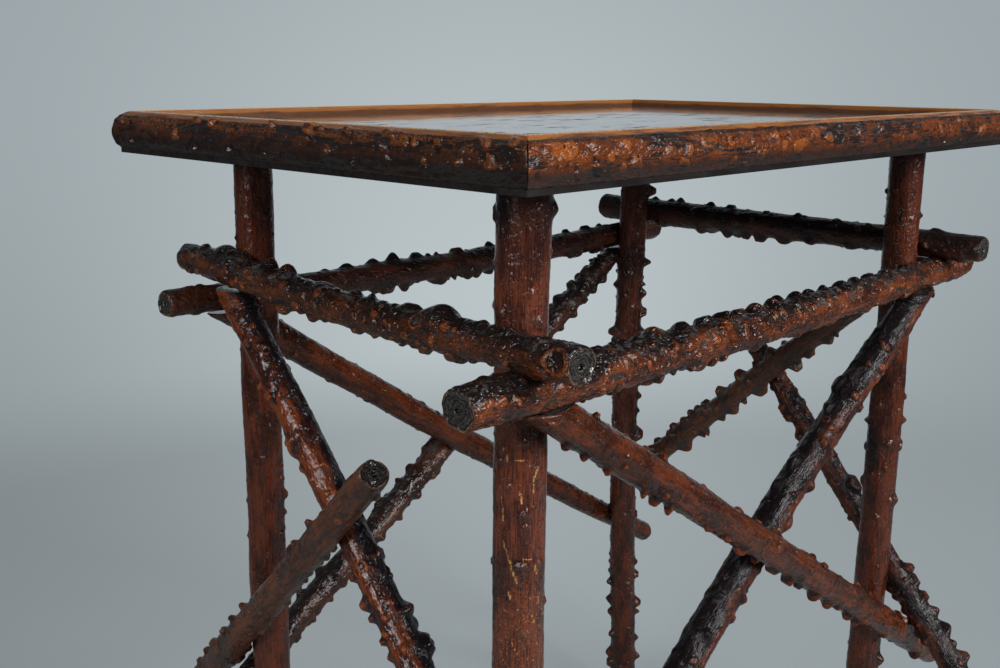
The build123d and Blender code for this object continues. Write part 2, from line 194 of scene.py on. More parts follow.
def new_group(name, inputs, outputs):
    """A shader node group. Inputs are (name, socket kind, default) rows, outputs are names of
    numbers."""
    tree = bpy.data.node_groups.new(name, "ShaderNodeTree")
    for label, kind, default in inputs:
        socket = tree.interface.new_socket(label, in_out="INPUT", socket_type=kind)
        if default is not None:
            socket.default_value = default
    for label in outputs:
        tree.interface.new_socket(label, in_out="OUTPUT", socket_type=FLOAT)
    given = tree.nodes.new("NodeGroupInput").outputs
    out = tree.nodes.new("NodeGroupOutput").inputs
    return tree, Wiring(tree), given, out


# Noises of the bark: scale along the branch over scale across it, scale across, detail,
# roughness, distortion.
BARK_NOISES = {
    "Fibre": (0.06, 1000.0, 3.0, 0.60, 0.0),
    "Streak": (0.12, 260.0, 4.0, 0.60, 0.4),
    "Blotch": (0.45, 62.0, 4.0, 0.58, 0.3),
    "Grit": (1.00, 760.0, 4.0, 0.75, 0.0),
    "Facet": (0.60, 430.0, 1.0, 0.50, 0.0),
}


def bark_figure_group():
    """Place is a point on the branch in metres, its third part running along the branch. Puts out
    fibre (fine lengthwise lines), streak (longer, broader ones), blotch (long soft patches), grit
    (fine grains), facet (smooth small dents, for glints), pimple (raised dots), fleck (short marks
    across the branch) and crease (thin wandering lines, where a noise crosses its middle)."""
    tree, w, given, out = new_group("bark_figure", [("Place", VECTOR, None)],
                                    (*BARK_NOISES, "Pimple", "Fleck", "Crease"))
    place = given["Place"]
    for label, (ratio, scale, detail, rough, distortion) in BARK_NOISES.items():
        w.put(out[label], w.noise(w.stretch(place, (1.0, 1.0, ratio)), scale, detail, rough,
                                  distortion))
    spots = w.cells(w.stretch(place, (1.0, 1.0, 0.75)), 330.0)
    w.put(out["Pimple"], w.step(spots, 0.34, 0.08))
    marks = w.noise(w.stretch(place, (0.35, 0.35, 1.0)), 900.0, 2.0, 0.6)
    marked = w.step(w.noise(place, 130.0, 2.0), 0.45, 0.60)
    w.put(out["Fleck"], w.product(w.step(marks, 0.55, 0.68), marked))
    wander = w.noise(w.stretch(place, (1.0, 1.0, 0.40)), 170.0, 3.0, 0.6, 0.6)
    line = w.step(w.math("ABSOLUTE", w.math("SUBTRACT", wander, 0.5)), 0.030, 0.008)
    creased = w.step(w.noise(place, 90.0, 2.0), 0.44, 0.58)
    w.put(out["Crease"], w.product(line, creased))
    return tree


def settled_dust_group():
    """Pale dust lies in hollows and, a little, on what faces up, broken up by patches."""
    tree, w, given, out = new_group(
        "settled_dust", [("Hollow", FLOAT, 0.0), ("Patches", FLOAT, 0.5), ("Amount", FLOAT, 0.5)],
        ("Dust",))
    rise_of_face = w.upward(w.node("ShaderNodeNewGeometry").outputs["Normal"])
    facing_up = w.step(rise_of_face, -0.2, 0.9, 0.25, 1.0)
    lying = w.product(w.step(given["Hollow"], 0.25, 0.95), facing_up)
    broken = w.product(lying, w.step(given["Patches"], 0.42, 0.62))
    w.put(out["Dust"], w.math("MULTIPLY", broken, given["Amount"], clamp=True))
    return tree


def end_grain_group():
    """Ring is the share of the way from the pith to the bark. Puts out year rings (the sine of
    30 x ring, which wanders with a noise), the dark pith, and a band at the cut edge under the
    bark, which is painted as a highlight."""
    tree, w, given, out = new_group("end_grain", [("Ring", FLOAT, 0.0), ("Place", VECTOR, None)],
                                    ("Rings", "Pith", "Band"))
    ring, place = given["Ring"], given["Place"]
    wander = w.product(w.noise(place, 170.0, 4.0, 0.7), 0.7)
    wave = w.math("SINE", w.product(w.plus(ring, wander), 30.0))
    grit = w.noise(place, 700.0, 4.0, 0.7)
    w.put(out["Rings"], w.product(w.step(wave, -0.4, 1.0), w.step(grit, 0.40, 0.60, 0.25, 1.0)))
    w.put(out["Pith"], w.step(ring, 0.22, 0.15))
    w.put(out["Band"], w.product(w.step(ring, 0.88, 0.94), w.step(wander, 0.29, 0.38)))
    return tree


def board_figure_group():
    """Place runs along the board in its first part. Puts out figure (long wavy grain), pore (short
    dark dashes) and scuff (rubbed patches)."""
    tree, w, given, out = new_group("board_figure", [("Place", VECTOR, None)],
                                    ("Figure", "Pore", "Scuff"))
    place = given["Place"]
    w.put(out["Figure"], w.noise(w.stretch(place, (0.07, 1.0, 1.0)), 190.0, 5.0, 0.62, 0.5))
    dashes = w.noise(w.stretch(place, (0.16, 1.0, 1.0)), 190.0, 3.0, 0.6)
    dashed = w.step(w.noise(place, 16.0, 2.0), 0.46, 0.54)
    w.put(out["Pore"], w.product(w.step(dashes, 0.585, 0.610), dashed))
    w.put(out["Scuff"], w.noise(place, 34.0, 5.0, 0.7))
    return tree


BARK_FIGURE = bark_figure_group()
SETTLED_DUST = settled_dust_group()
END_GRAIN = end_grain_group()
BOARD_FIGURE = board_figure_group()


def new_material(name):
    """An empty material and the wiring of its nodes."""
    material = bpy.data.materials.new(name)
    material.use_nodes = True
    material.node_tree.nodes.clear()
    return material, Wiring(material.node_tree)


def new_finish(name):
    """A material with one Principled shader, its wiring and the shader's inputs."""
    material, w = new_material(name)
    shader = w.node("ShaderNodeBsdfPrincipled")
    w.node("ShaderNodeOutputMaterial", {"Surface": shader.outputs[0]})
    return material, w, shader.inputs


# ---------------------------------------------------------------- bark finishes

DUST_COLOUR = (0.160, 0.155, 0.160)
# Near black for the painted shadow on the legs under the board and the stretchers.
UNDER_SHADOW_COLOUR = (0.006, 0.003, 0.003)
BARE_WOOD = (0.60, 0.31, 0.10)
# Sawn ends: ring colours greyed towards silver, the rings' own colour with a painted sheen; a pale
# band at the cut edge, a painted highlight; the pith.
END_DARK = (0.014, 0.012, 0.012)
END_LIGHT_AND_SHEEN = (0.135, 0.108, 0.092)
END_EDGE_HIGHLIGHT = (0.300, 0.190, 0.110)
END_PITH = (0.003, 0.003, 0.003)
# Heights on the legs in metres, each where a thing starts and where it is full: painted shadow
# under the board, painted shadow under the stretchers from below and from above, and pale flecks.
BOARD_SHADOW = (0.600, 0.676)
BAND_BELOW = (0.506, 0.530)
BAND_ABOVE = (0.562, 0.550)
FLECKED = (0.47, 0.40)
SHADOW_SPREAD = 0.24
KNOB_SHADOW_SPREAD = 0.34
BARK_BUMP = 0.0010
BARK_COAT_ROUGHNESS = 0.09


def bark_material(name, light, deep, dark, knob_top, dark_from, pimples, facets,
                  mix=(0.5, 0.25, 0.45), grime=0.5, wrinkle=0.4, creases=0.8, fibres=0.06,
                  ripples=0.0, flecks=0.0, under_shadow=0.0, dust=0.5, roughness=0.19, coat=0.2,
                  specular=0.4, sheen=0.5):
    """Varnished bark. Light wood colour shows in streaks and patches over the deep one. The dark
    side is painted shade and goes nearly black, and the hollows round the knobs go nearly black
    too, partly dark bark and partly painted shade; rubbed knobs show the wood. Knot lips and
    scratches are bare and pale. Legs have painted shadow under the board and under the stretchers,
    and pale flecks lower down. Dust dulls the varnish, which shines most where it turns away."""
    material, w, shader = new_finish(name)
    place = w.attribute("grain", "Vector")
    knob = w.attribute("knob")
    hollow = w.attribute("hollow")
    face = w.attribute("face")
    level = w.upward(w.object_place())
    figure = w.group(BARK_FIGURE, {"Place": place})
    patches, grit = figure["Blotch"], figure["Grit"]
    streak, fibre = figure["Streak"], figure["Fibre"]

    shown = w.total((streak, mix[0]), (fibre, mix[1]), (grit, mix[2]), (patches, 0.6))
    colour = w.blend(w.step(shown, 0.83, 1.00), deep, light)
    grimy = w.product(w.step(patches, 0.52, 0.36), grime)
    colour = w.blend(grimy, colour, w.blend(0.7, deep, dark))
    colour = w.blend(w.product(w.step(grit, 0.46, 0.36), 0.55), colour, dark)
    # Painted shade: the side that the shade attribute marks, broken up by the bark's noises, goes
    # to the dark colour.
    shadow = w.total((w.attribute("shade"), 1.0), (patches, -0.55), (streak, 0.30), (grit, 0.25))
    colour = w.blend(w.step(shadow, dark_from, dark_from + SHADOW_SPREAD), colour, dark)
    # Painted shadow on the legs: near black under the board and in a band under the stretchers.
    if under_shadow:
        band = w.product(w.step(level, *BAND_BELOW), w.step(level, *BAND_ABOVE))
        black = w.larger(w.step(level, *BOARD_SHADOW), w.product(band, 0.9))
        colour = w.blend(w.product(black, under_shadow), colour, w.blend(0.80, colour, UNDER_SHADOW_COLOUR))

    # Rubbed knob tops show the wood, held back where the painted shade lies.
    top = w.product(w.step(knob, 0.25, 0.9), w.step(grit, 0.40, 0.56, 0.35, 1.0))
    lit = w.step(shadow, dark_from + KNOB_SHADOW_SPREAD, dark_from, 0.35, 0.85)
    colour = w.blend(w.product(top, lit), colour, knob_top)
    # The hollows round the knobs go dark, partly dark bark and partly painted shade, together with
    # flecks and creases, which are marks in the bark.
    lines = w.larger(w.product(figure["Fleck"], 0.6), w.product(figure["Crease"], creases))
    hollow_shade_and_lines = w.larger(w.step(hollow, 0.12, 0.7), lines)
    colour = w.blend(w.product(hollow_shade_and_lines, 0.9), colour, dark)
    broken = w.total((w.attribute("bare"), 1.0), (grit, 1.9))
    pale = w.product(w.step(broken, 1.60, 1.90), w.step(fibre, 0.38, 0.56, 0.35, 1.0))
    if flecks:
        grains = w.product(w.step(grit, 0.60, 0.66), w.step(level, *FLECKED, 0.0, flecks))
        pale = w.larger(pale, grains)
    colour = w.blend(pale, colour, BARE_WOOD)
    lying = w.group(SETTLED_DUST, {"Hollow": hollow, "Patches": patches, "Amount": dust})["Dust"]
    colour = w.blend(lying, colour, DUST_COLOUR)

    ends = w.group(END_GRAIN, {"Ring": w.attribute("ring"), "Place": place})
    # A sawn end: rings in colours that carry a painted sheen, and a pale band at the cut edge that
    # is a painted highlight.
    wood = w.blend(ends["Rings"], END_DARK, END_LIGHT_AND_SHEEN)
    wood = w.blend(w.product(ends["Band"], 0.8), wood, END_EDGE_HIGHLIGHT)
    wood = w.blend(ends["Pith"], wood, END_PITH)
    w.put(shader["Base Color"], w.blend(face, colour, wood))

    varnish = w.step(patches, 0.3, 0.7, roughness - 0.06, roughness + 0.12)
    w.put(shader["Roughness"], w.total((varnish, 1.0), (lying, 0.4), (face, -0.06), (knob, -0.04)))
    dull = w.total((lying, 1.0), (hollow, 0.25))
    glossy = w.larger(w.step(dull, 0.0, 0.7, coat, 0.1), w.product(face, 0.8))
    facing = w.node("ShaderNodeLayerWeight", {"Blend": 0.5}).outputs["Facing"]
    edge = w.product(w.step(facing, 0.72, 0.95), sheen)
    w.put(shader["Coat Weight"], w.larger(glossy, edge))
    shader["Coat Roughness"].default_value = BARK_COAT_ROUGHNESS
    shader["Specular IOR Level"].default_value = specular

    dents = w.product(figure["Facet"], w.step(knob, 0.1, 0.6, facets, 1.9 * facets))
    height = w.total((streak, wrinkle), (figure["Pimple"], pimples), (patches, 0.5),
                     (fibre, fibres), (dents, 1.0), (figure["Fleck"], ripples),
                     (figure["Crease"], -0.25 * creases))
    w.put(shader["Normal"], w.bump(w.between(face, height, ends["Rings"]), BARK_BUMP))
    return material


FINISHES = {
    "stretcher_bark": dict(
        light=(0.200, 0.043, 0.006), deep=(0.070, 0.015, 0.005), dark=(0.0120, 0.0070, 0.0060),
        knob_top=(0.30, 0.070, 0.009), dark_from=0.50, pimples=0.6, wrinkle=0.5, facets=2.0,
        dust=0.35),
    "umber_bark": dict(
        light=(0.120, 0.030, 0.007), deep=(0.050, 0.014, 0.006), dark=(0.0130, 0.0080, 0.0070),
        knob_top=(0.28, 0.062, 0.009), dark_from=0.54, pimples=0.6, wrinkle=0.5, facets=2.0,
        dust=0.45),
    "brace_bark": dict(
        light=(0.135, 0.028, 0.006), deep=(0.054, 0.012, 0.004), dark=(0.0110, 0.0052, 0.0040),
        knob_top=(0.23, 0.047, 0.008), dark_from=0.62, mix=(0.45, 0.50, 0.25), grime=0.40,
        pimples=0.40, wrinkle=0.20, creases=0.6, facets=0.7, coat=0.12, roughness=0.14,
        dust=0.05, specular=0.34),
    "dim_bark": dict(
        light=(0.095, 0.027, 0.012), deep=(0.045, 0.014, 0.008), dark=(0.0140, 0.0088, 0.0075),
        knob_top=(0.13, 0.036, 0.012), dark_from=0.54, mix=(0.55, 0.35, 0.30), pimples=0.2,
        creases=0.4, facets=1.1, roughness=0.26, coat=0.1, dust=0.3),
    "gloss_bark": dict(
        light=(0.200, 0.042, 0.009), deep=(0.060, 0.014, 0.007), dark=(0.0100, 0.0068, 0.0082),
        knob_top=(0.28, 0.062, 0.010), dark_from=0.48, mix=(0.55, 0.35, 0.30), pimples=0.2,
        creases=0.5, facets=0.9, coat=0.22, roughness=0.17, dust=0.15, specular=0.34),
    "dull_bark": dict(
        light=(0.135, 0.042, 0.016), deep=(0.060, 0.023, 0.012), dark=(0.020, 0.015, 0.013),
        knob_top=(0.21, 0.055, 0.014), dark_from=0.60, mix=(0.55, 0.35, 0.30), pimples=0.3,
        creases=0.5, facets=0.8, coat=0.05, roughness=0.32, dust=0.6),
    "wrinkled_bark": dict(
        light=(0.150, 0.034, 0.010), deep=(0.050, 0.014, 0.009), dark=(0.0100, 0.0070, 0.0080),
        knob_top=(0.27, 0.060, 0.012), dark_from=0.50, mix=(0.6, 0.4, 0.2), pimples=0.1,
        wrinkle=0.9, creases=0.6, fibres=0.4, facets=0.5, roughness=0.24, coat=0.0, dust=0.2,
        specular=0.24),
    # The legs paint shadow under the board and the stretchers, at the strength given.
    "leg_bark": dict(
        light=(0.150, 0.036, 0.015), deep=(0.054, 0.015, 0.010), dark=(0.0120, 0.0060, 0.0050),
        knob_top=(0.060, 0.026, 0.024), dark_from=0.82, mix=(0.20, 0.90, 0.15), pimples=0.15,
        wrinkle=0.2, creases=0.15, fibres=0.16, facets=0.95, ripples=0.4, flecks=0.8, under_shadow=0.85,
        grime=0.35, coat=0.3, roughness=0.17, sheen=0.9),
    "back_leg_bark": dict(
        light=(0.115, 0.024, 0.008), deep=(0.042, 0.010, 0.005), dark=(0.0150, 0.0080, 0.0065),
        knob_top=(0.13, 0.034, 0.013), dark_from=0.60, mix=(0.4, 0.7, 0.15), pimples=0.2,
        wrinkle=0.25, creases=0.3, facets=0.9, ripples=0.25, under_shadow=0.5, grime=0.4),
}
BARKS = {name: bark_material(name, **finish) for name, finish in FINISHES.items()}


# ---------------------------------------------------------------- meshes and fields on a grid

def mesh_object(name, points, faces, material):
    """A mesh from an (n, 3) array in metres and a list of (faces, corners) index arrays."""
    corners = np.concatenate([block.ravel() for block in faces]).astype(np.int32)
    counts = np.concatenate([np.full(len(block), block.shape[1]) for block in faces])
    starts = np.concatenate(([0], np.cumsum(counts)[:-1])).astype(np.int32)
    mesh = bpy.data.meshes.new(name)
    mesh.vertices.add(len(points))
    mesh.vertices.foreach_set("co", points.astype(np.float32).ravel())
    mesh.loops.add(len(corners))
    mesh.loops.foreach_set("vertex_index", corners)
    mesh.polygons.add(len(counts))
    mesh.polygons.foreach_set("loop_start", starts)
    mesh.update(calc_edges=True)
    mesh.polygons.foreach_set("use_smooth", np.full(len(counts), True))
    mesh.materials.append(material)
    made = bpy.data.objects.new(name, mesh)
    scene.collection.objects.link(made)
    return made


def add_piece(name, points, faces, attributes, material):
    """A piece of the table, with named numbers or vectors at its points."""
    piece = mesh_object(name, points, faces, material)
    for key, values in attributes.items():
        kind, slot = ("FLOAT_VECTOR", "vector") if values.ndim == 2 else ("FLOAT", "value")
        layer = piece.data.attributes.new(key, kind, "POINT")
        layer.data.foreach_set(slot, values.astype(np.float32).ravel())
    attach(piece, "root")
    return piece


def ring_quads(rows, columns):
    """Quads between the rows of a grid whose columns close round."""
    first = np.arange(columns)
    following = np.roll(first, -1)
    low = (np.arange(rows - 1) * columns)[:, None]
    return np.stack([low + first, low + following, low + columns + following,
                     low + columns + first], axis=-1).reshape(-1, 4)


def fan(pole, first, second):
    """Triangles from a pole to each pair of first and second points."""
    return np.stack([np.full(len(first), pole), first, second], axis=-1)


def tube_faces(rows, columns):
    """A closed tube: the rows, a pole before the first and a pole after the last. The poles are
    the last two points."""
    first = np.arange(columns)
    following = np.roll(first, -1)
    last = (rows - 1) * columns
    return [ring_quads(rows, columns), fan(rows * columns, following, first),
            fan(rows * columns + 1, last + first, last + following)]


def rise(value):
    """0 below 0, 1 above 1 and 3x^2 - 2x^3 between."""
    value = np.clip(value, 0.0, 1.0)
    return value * value * (3.0 - 2.0 * value)


def bell(offset, half):
    """exp(-(offset / half)^2)."""
    return np.exp(-(offset / half) ** 2)


def blurred(field, steps, widths):
    """The field under a Gaussian blur of those widths, worked on its Fourier waves. Its rows are
    mirrored at both ends and its columns close round."""
    mirrored = np.concatenate((field[::-1], field, field[::-1]))
    row_wave = np.fft.fftfreq(len(mirrored), steps[0])[:, None] * widths[0]
    column_wave = np.fft.fftfreq(field.shape[1], steps[1])[None, :] * widths[1]
    keep = np.exp(-2 * math.pi ** 2 * (row_wave ** 2 + column_wave ** 2))
    return np.fft.ifft2(np.fft.fft2(mirrored) * keep).real[len(field):2 * len(field)]


def cloud(shape, steps, widths, random):
    """Hills and dips of about those widths: white noise, blurred, with a mean of 0 and a spread
    of 1."""
    made = blurred(random.standard_normal(shape), steps, widths)
    return (made - made.mean()) / made.std()


def aside_from(angle, around, radius):
    """Millimetres round the bark from an angle, the shorter way."""
    return np.angle(np.exp(1j * (around - angle)))[None, :] * radius


# Of a knob's half width: how far its skirt spreads, and how far it is worked out.
SKIRT = 1.8
KNOB_REACH = 2.2
# How flat a knob is dished from, and how far a point moves along for its height and lean.
DISHED_FROM = 0.3
LEAN_SHIFT = 0.7


def knob_shape(ahead, aside, knob):
    """With d the distance from the knob's middle over its width, longer on the side it leans to
    and wavy round the outline, the height is height x (0.8 rise((1 - d) / (1 - flat)) +
    0.2 rise((skirt - d) / skirt)), less a shallow dish on a flat top."""
    tall, wide, lean, flat, oblong, phase = knob
    ahead = ahead / (wide * oblong)
    ahead = np.where(ahead > 0, ahead / (1 + lean), ahead / (1 - lean))
    aside = aside / wide
    way = np.arctan2(aside, ahead)
    wavy = 1 + 0.16 * np.cos(2 * way + phase) + 0.12 * np.cos(3 * way + 2.7 * phase)
    far = np.hypot(ahead, aside) * wavy
    dish = 0.28 * rise(1 - far / (0.4 + flat)) if flat > DISHED_FROM else 0.0
    return tall * (0.8 * rise((1 - far) / (1 - flat)) + 0.2 * rise((SKIRT - far) / SKIRT) - dish)


def knob_field(along, around, radius, knobs):
    """The highest knob at each point of the bark, how far that one leans, and how rubbed it is.
    Each row of knobs is place, angle, rubbed, and the six values of a knob's shape."""
    height = np.zeros((len(along), len(around)))
    shift = np.zeros_like(height)
    rubbed = np.zeros_like(height)
    for place, angle, bare, *knob in knobs:
        tall, wide, lean, _, oblong, _ = knob
        reach = KNOB_REACH * wide * oblong
        rows = slice(*np.searchsorted(along, (place - reach, place + reach)))
        bump = knob_shape((along[rows] - place)[:, None], aside_from(angle, around, radius), knob)
        higher = bump > height[rows]
        height[rows] = np.where(higher, bump, height[rows])
        shift[rows] = np.where(higher, bump * lean * LEAN_SHIFT, shift[rows])
        rubbed[rows] = np.where(higher, bare * np.clip(bump / tall, 0, 1), rubbed[rows])
    return height, shift, rubbed


# ---------------------------------------------------------------- branches: their lines

LEG_SEAT = 2.4
TRIM_GAP = 0.3
SAWN_REACH = 30.0


class Path:
    """The middle line of a branch: straight from a to b, plus bow x sin(pi t) aside, radius even
    from one end to the other, wood from t = first to t = last. Where it is sawn off level, `sawn`
    is which end, as t, and the height."""

    def __init__(self, a, b, radii, bow, first=0.0, last=1.0, upright=False):
        self.a, self.b = np.array(a, float), np.array(b, float)
        self.radii = radii
        self.bow = np.array(bow, float)
        self.first, self.last = first, last
        self.upright = upright
        self.sawn = None

    def centre(self, t):
        t = np.asarray(t)[..., None]
        return self.a + (self.b - self.a) * t + self.bow * np.sin(np.pi * t)

    def radius(self, t):
        return self.radii[0] + (self.radii[1] - self.radii[0]) * np.asarray(t)

    def t_at(self, along, length):
        """t at a place along the wood, which is that length from first to last."""
        return self.first + (self.last - self.first) * along / length

    def frames(self, t):
        """Two directions across the branch: level across it, and square to that."""
        t = np.asarray(t)[..., None]
        if self.upright:
            shape = (*t.shape[:-1], 3)
            return np.broadcast_to(EAST, shape), np.broadcast_to(NORTH, shape)
        ahead = self.b - self.a + self.bow * np.pi * np.cos(np.pi * t)
        ahead /= np.linalg.norm(ahead, axis=-1, keepdims=True)
        level = np.cross(UP, self.b - self.a)
        level = level / np.linalg.norm(level)
        level = level - ahead * (ahead @ level)[..., None]
        level /= np.linalg.norm(level, axis=-1, keepdims=True)
        return level, np.cross(ahead, level)


# Each leg: inset of its top from the panel's edges, lean outward at the foot as x and y, bow as x
# and y, and radius.
LEG_SHAPES = {
    "front_left": ((54.0, 51.0), (0.0, 0.0), (-1.0, 1.0), 16.5),
    "back_left": ((62.5, 59.5), (-2.5, 2.5), (0.0, 0.0), 15.0),
    "front_right": ((53.0, 50.5), (0.0, 0.0), (1.0, -1.0), 15.0),
    "back_right": ((55.0, 51.0), (4.0, -4.0), (-5.5, 5.5), 14.5),
}


def leg_path(name):
    """Upright, from the floor (t = 0) to the board's underside (t = 1)."""
    (inset_x, inset_y), (lean_x, lean_y), bow, radius = LEG_SHAPES[name]
    x = (HALF_LENGTH - inset_x) * (-1 if "left" in name else 1)
    y = (HALF_DEPTH - inset_y) * (-1 if "front" in name else 1)
    return Path((x + lean_x, y + lean_y, 0), (x, y, BOARD_UNDERSIDE), (radius, radius),
                (*bow, 0), upright=True)


LEGS = {name: leg_path(name) for name in LEG_SHAPES}
OUTWARD = {"left": -EAST, "right": EAST, "front": -NORTH, "back": NORTH}
SIDE_LEGS = {"left": ("front_left", "back_left"), "front": ("front_left", "front_right"),
             "back": ("back_left", "back_right"), "right": ("front_right", "back_right")}


# Heights at the two legs, radii there, run past the legs, rise in the middle, spring outward,
# and distance off each leg.
CROSS_BRANCHES = {
    "stretcher_left": ((586, 592), (11.6, 11.8), (70, 62), -3.5, 0, (0, 0)),
    "stretcher_front": ((564, 565), (13.6, 12.6), (80, 78), -3.0, 0, (0, 0)),
    "stretcher_back": ((567, 564), (10.9, 12.5), (68, 74), -4.0, 0, (0, 0)),
    "stretcher_right": ((589, 591), (12.3, 13.6), (66, 60), 0, 0, (0, 0)),
    "brace_left_inner": ((267, 582), (11.8, 12.0), (75, 16), -4.5, -5, (0, 0)),
    "brace_front_inner": ((190, 557), (13.6, 13.0), (80, 16), -16, -19, (0, 0)),
    "brace_back_inner": ((550, 233), (12.6, 11.5), (16, 84), -6, -10, (0, 0)),
    "brace_right_inner": ((564, 285), (10.9, 10.9), (3, 24), 3.5, -3, (0, 0)),
    "brace_left_outer": ((573, 293), (10.4, 12.4), (-88, 108), 0, 0, (30, 0)),
    "brace_front_outer": ((545, 217), (12.3, 13.4), (14, 97), 0, 1, (0, 0)),
    "brace_back_outer": ((239, 547), (11.4, 10.8), (107.2, 14), -4, 6, (0, 0)),
    "brace_right_outer": ((279, 596), (11.0, 10.2), (100, -112), 3.5, 0, (0, 36)),
}
# The stretcher that an end stops under, and which end it is: 0 the first, 1 the last.
SAWN_ENDS = {"brace_left_inner": ("stretcher_left", 1), "brace_front_inner": ("stretcher_front", 1),
             "brace_back_inner": ("stretcher_back", 0), "brace_right_inner": ("stretcher_right", 0),
             "brace_front_outer": ("stretcher_front", 0), "brace_back_outer": ("stretcher_back", 1)}


def cross_path(name):
    """Lies on the outer faces of the two legs of its side, sunk LEG_SEAT into them."""
    heights, radii, past, bow, spring, stand_off = CROSS_BRANCHES[name]
    side = name.split("_")[1]
    ends = []
    for leg_name, height, radius, off in zip(SIDE_LEGS[side], heights, radii, stand_off):
        leg = LEGS[leg_name]
        ends.append(leg.centre(height / BOARD_UNDERSIDE)
                    + OUTWARD[side] * (leg.radii[0] + radius - LEG_SEAT + off))
    span = np.linalg.norm((ends[1] - ends[0]) * (1, 1, 0))
    return Path(ends[0], ends[1], radii, UP * bow + OUTWARD[side] * spring, -past[0] / span,
                1 + past[1] / span)


def sawn_under(stretcher, end_t):
    """The end that is sawn off, and the height: TRIM_GAP under the stretcher near there."""
    reach = SAWN_REACH / np.linalg.norm(stretcher.b - stretcher.a)
    near = np.array((end_t - reach, end_t, end_t + reach))
    return end_t, (stretcher.centre(near)[:, 2] - stretcher.radius(near)).min() - TRIM_GAP


PATHS = {name: cross_path(name) for name in CROSS_BRANCHES}
for name, (stretcher_name, end_t) in SAWN_ENDS.items():
    PATHS[name].sawn = sawn_under(PATHS[stretcher_name], end_t)
PATHS.update({f"leg_{name}": path for name, path in LEGS.items()})


# ---------------------------------------------------------------- branches: what grows on them

# Millimetres from knob to knob on the rough side, the share of them that grows on the smooth side,
# the share of small warts, knob heights, knob widths, and the way the rough side faces.
GROWTH = {
    "stretcher_left": (11, 0.5, 0.40, (0.7, 2.2), (2.4, 4.6), (0, 0, 1)),
    "stretcher_front": (10, 0.3, 0.35, (0.7, 2.2), (2.6, 4.6), (0, 0, 1)),
    "stretcher_back": (17, 0.7, 0.08, (0.6, 1.5), (2.4, 4.4), (0, 0, 1)),
    "stretcher_right": (17, 0.6, 0.08, (0.6, 1.5), (2.4, 4.4), (0, 0, -1)),
    "brace_left_inner": (15, 0.5, 0.10, (0.6, 1.8), (2.4, 4.6), (0, -0.8, -0.6)),
    "brace_left_outer": (14, 0.6, 0.12, (0.5, 1.4), (1.8, 3.2), (0, 0.5, 1.0)),
    "brace_front_inner": (17, 0.8, 0.10, (0.6, 1.6), (2.8, 5.4), (-1, 0, 0.5)),
    "brace_front_outer": (15, 0.3, 0.10, (0.5, 1.4), (2.2, 4.2), (-0.4, 0, -1.0)),
    "brace_back_inner": (18, 0.7, 0.10, (0.6, 2.0), (2.4, 4.2), (0, 0, 1)),
    "brace_back_outer": (13, 0.9, 0.25, (0.8, 2.6), (2.4, 4.4), (0, 0, 1)),
    "brace_right_inner": (15, 0.8, 0.10, (0.6, 1.8), (2.4, 4.2), (0, 0, 1)),
    "brace_right_outer": (14, 0.8, 0.12, (0.8, 2.2), (2.4, 4.4), (0, 1, 0.6)),
    "leg_front_left": (36, 1.0, 0.05, (0.5, 1.3), (1.8, 3.2), (1, 0, 0)),
    "leg_back_left": (30, 0.8, 0.08, (0.5, 1.5), (1.6, 3.0), (1, -1, 0)),
    "leg_front_right": (30, 0.9, 0.08, (0.5, 1.5), (1.6, 3.0), (1, -1, 0)),
    "leg_back_right": (16, 0.9, 0.20, (0.6, 1.8), (2.0, 3.4), (1, -1, 0)),
}

# Height of the bark's own hills and how long they run, the way the side with painted shade faces,
# how dark that painted shade is, and the finish.
BARK_LOOKS = {
    "stretcher_left": ((0.42, 4.5), (0.3, 0.3, 1.0), 0.80, "umber_bark"),
    "stretcher_front": ((0.42, 5.0), (0, 0.25, 1.0), 0.74, "stretcher_bark"),
    "stretcher_back": ((0.22, 8.0), (0.3, 0.3, 1.0), 0.72, "dim_bark"),
    "stretcher_right": ((0.22, 8.0), (-0.3, 0.3, 1.0), 0.82, "dim_bark"),
    "brace_left_inner": ((0.28, 10.0), (0.8, -0.45, 0.5), 0.78, "gloss_bark"),
    "brace_left_outer": ((0.28, 9.0), (0.2, 0.0, 1.0), 0.48, "dull_bark"),
    "brace_front_inner": ((0.36, 11.0), (-0.9, 0.0, 0.8), 0.78, "wrinkled_bark"),
    "brace_front_outer": ((0.26, 12.0), (0, 0.9, 0.4), 0.60, "brace_bark"),
    "brace_back_inner": ((0.24, 9.0), (0, 0, 1.0), 0.80, "brace_bark"),
    "brace_back_outer": ((0.38, 6.0), (0, 0, 1.0), 0.72, "dim_bark"),
    "brace_right_inner": ((0.28, 8.0), (0, 0, 1.0), 0.50, "dull_bark"),
    "brace_right_outer": ((0.36, 9.0), (-0.4, 0.0, 1.0), 0.70, "wrinkled_bark"),
    "leg_front_left": ((0.16, 14.0), (-0.695, 0.719, 0.0), 0.84, "leg_bark"),
    "leg_back_left": ((0.18, 14.0), (0.9, 0.6, 0.0), 0.52, "back_leg_bark"),
    "leg_front_right": ((0.18, 14.0), (-1.0, 0.6, 0.0), 0.58, "back_leg_bark"),
    "leg_back_right": ((0.24, 8.0), (-0.4, 0.6, 0.0), 0.60, "back_leg_bark"),
}

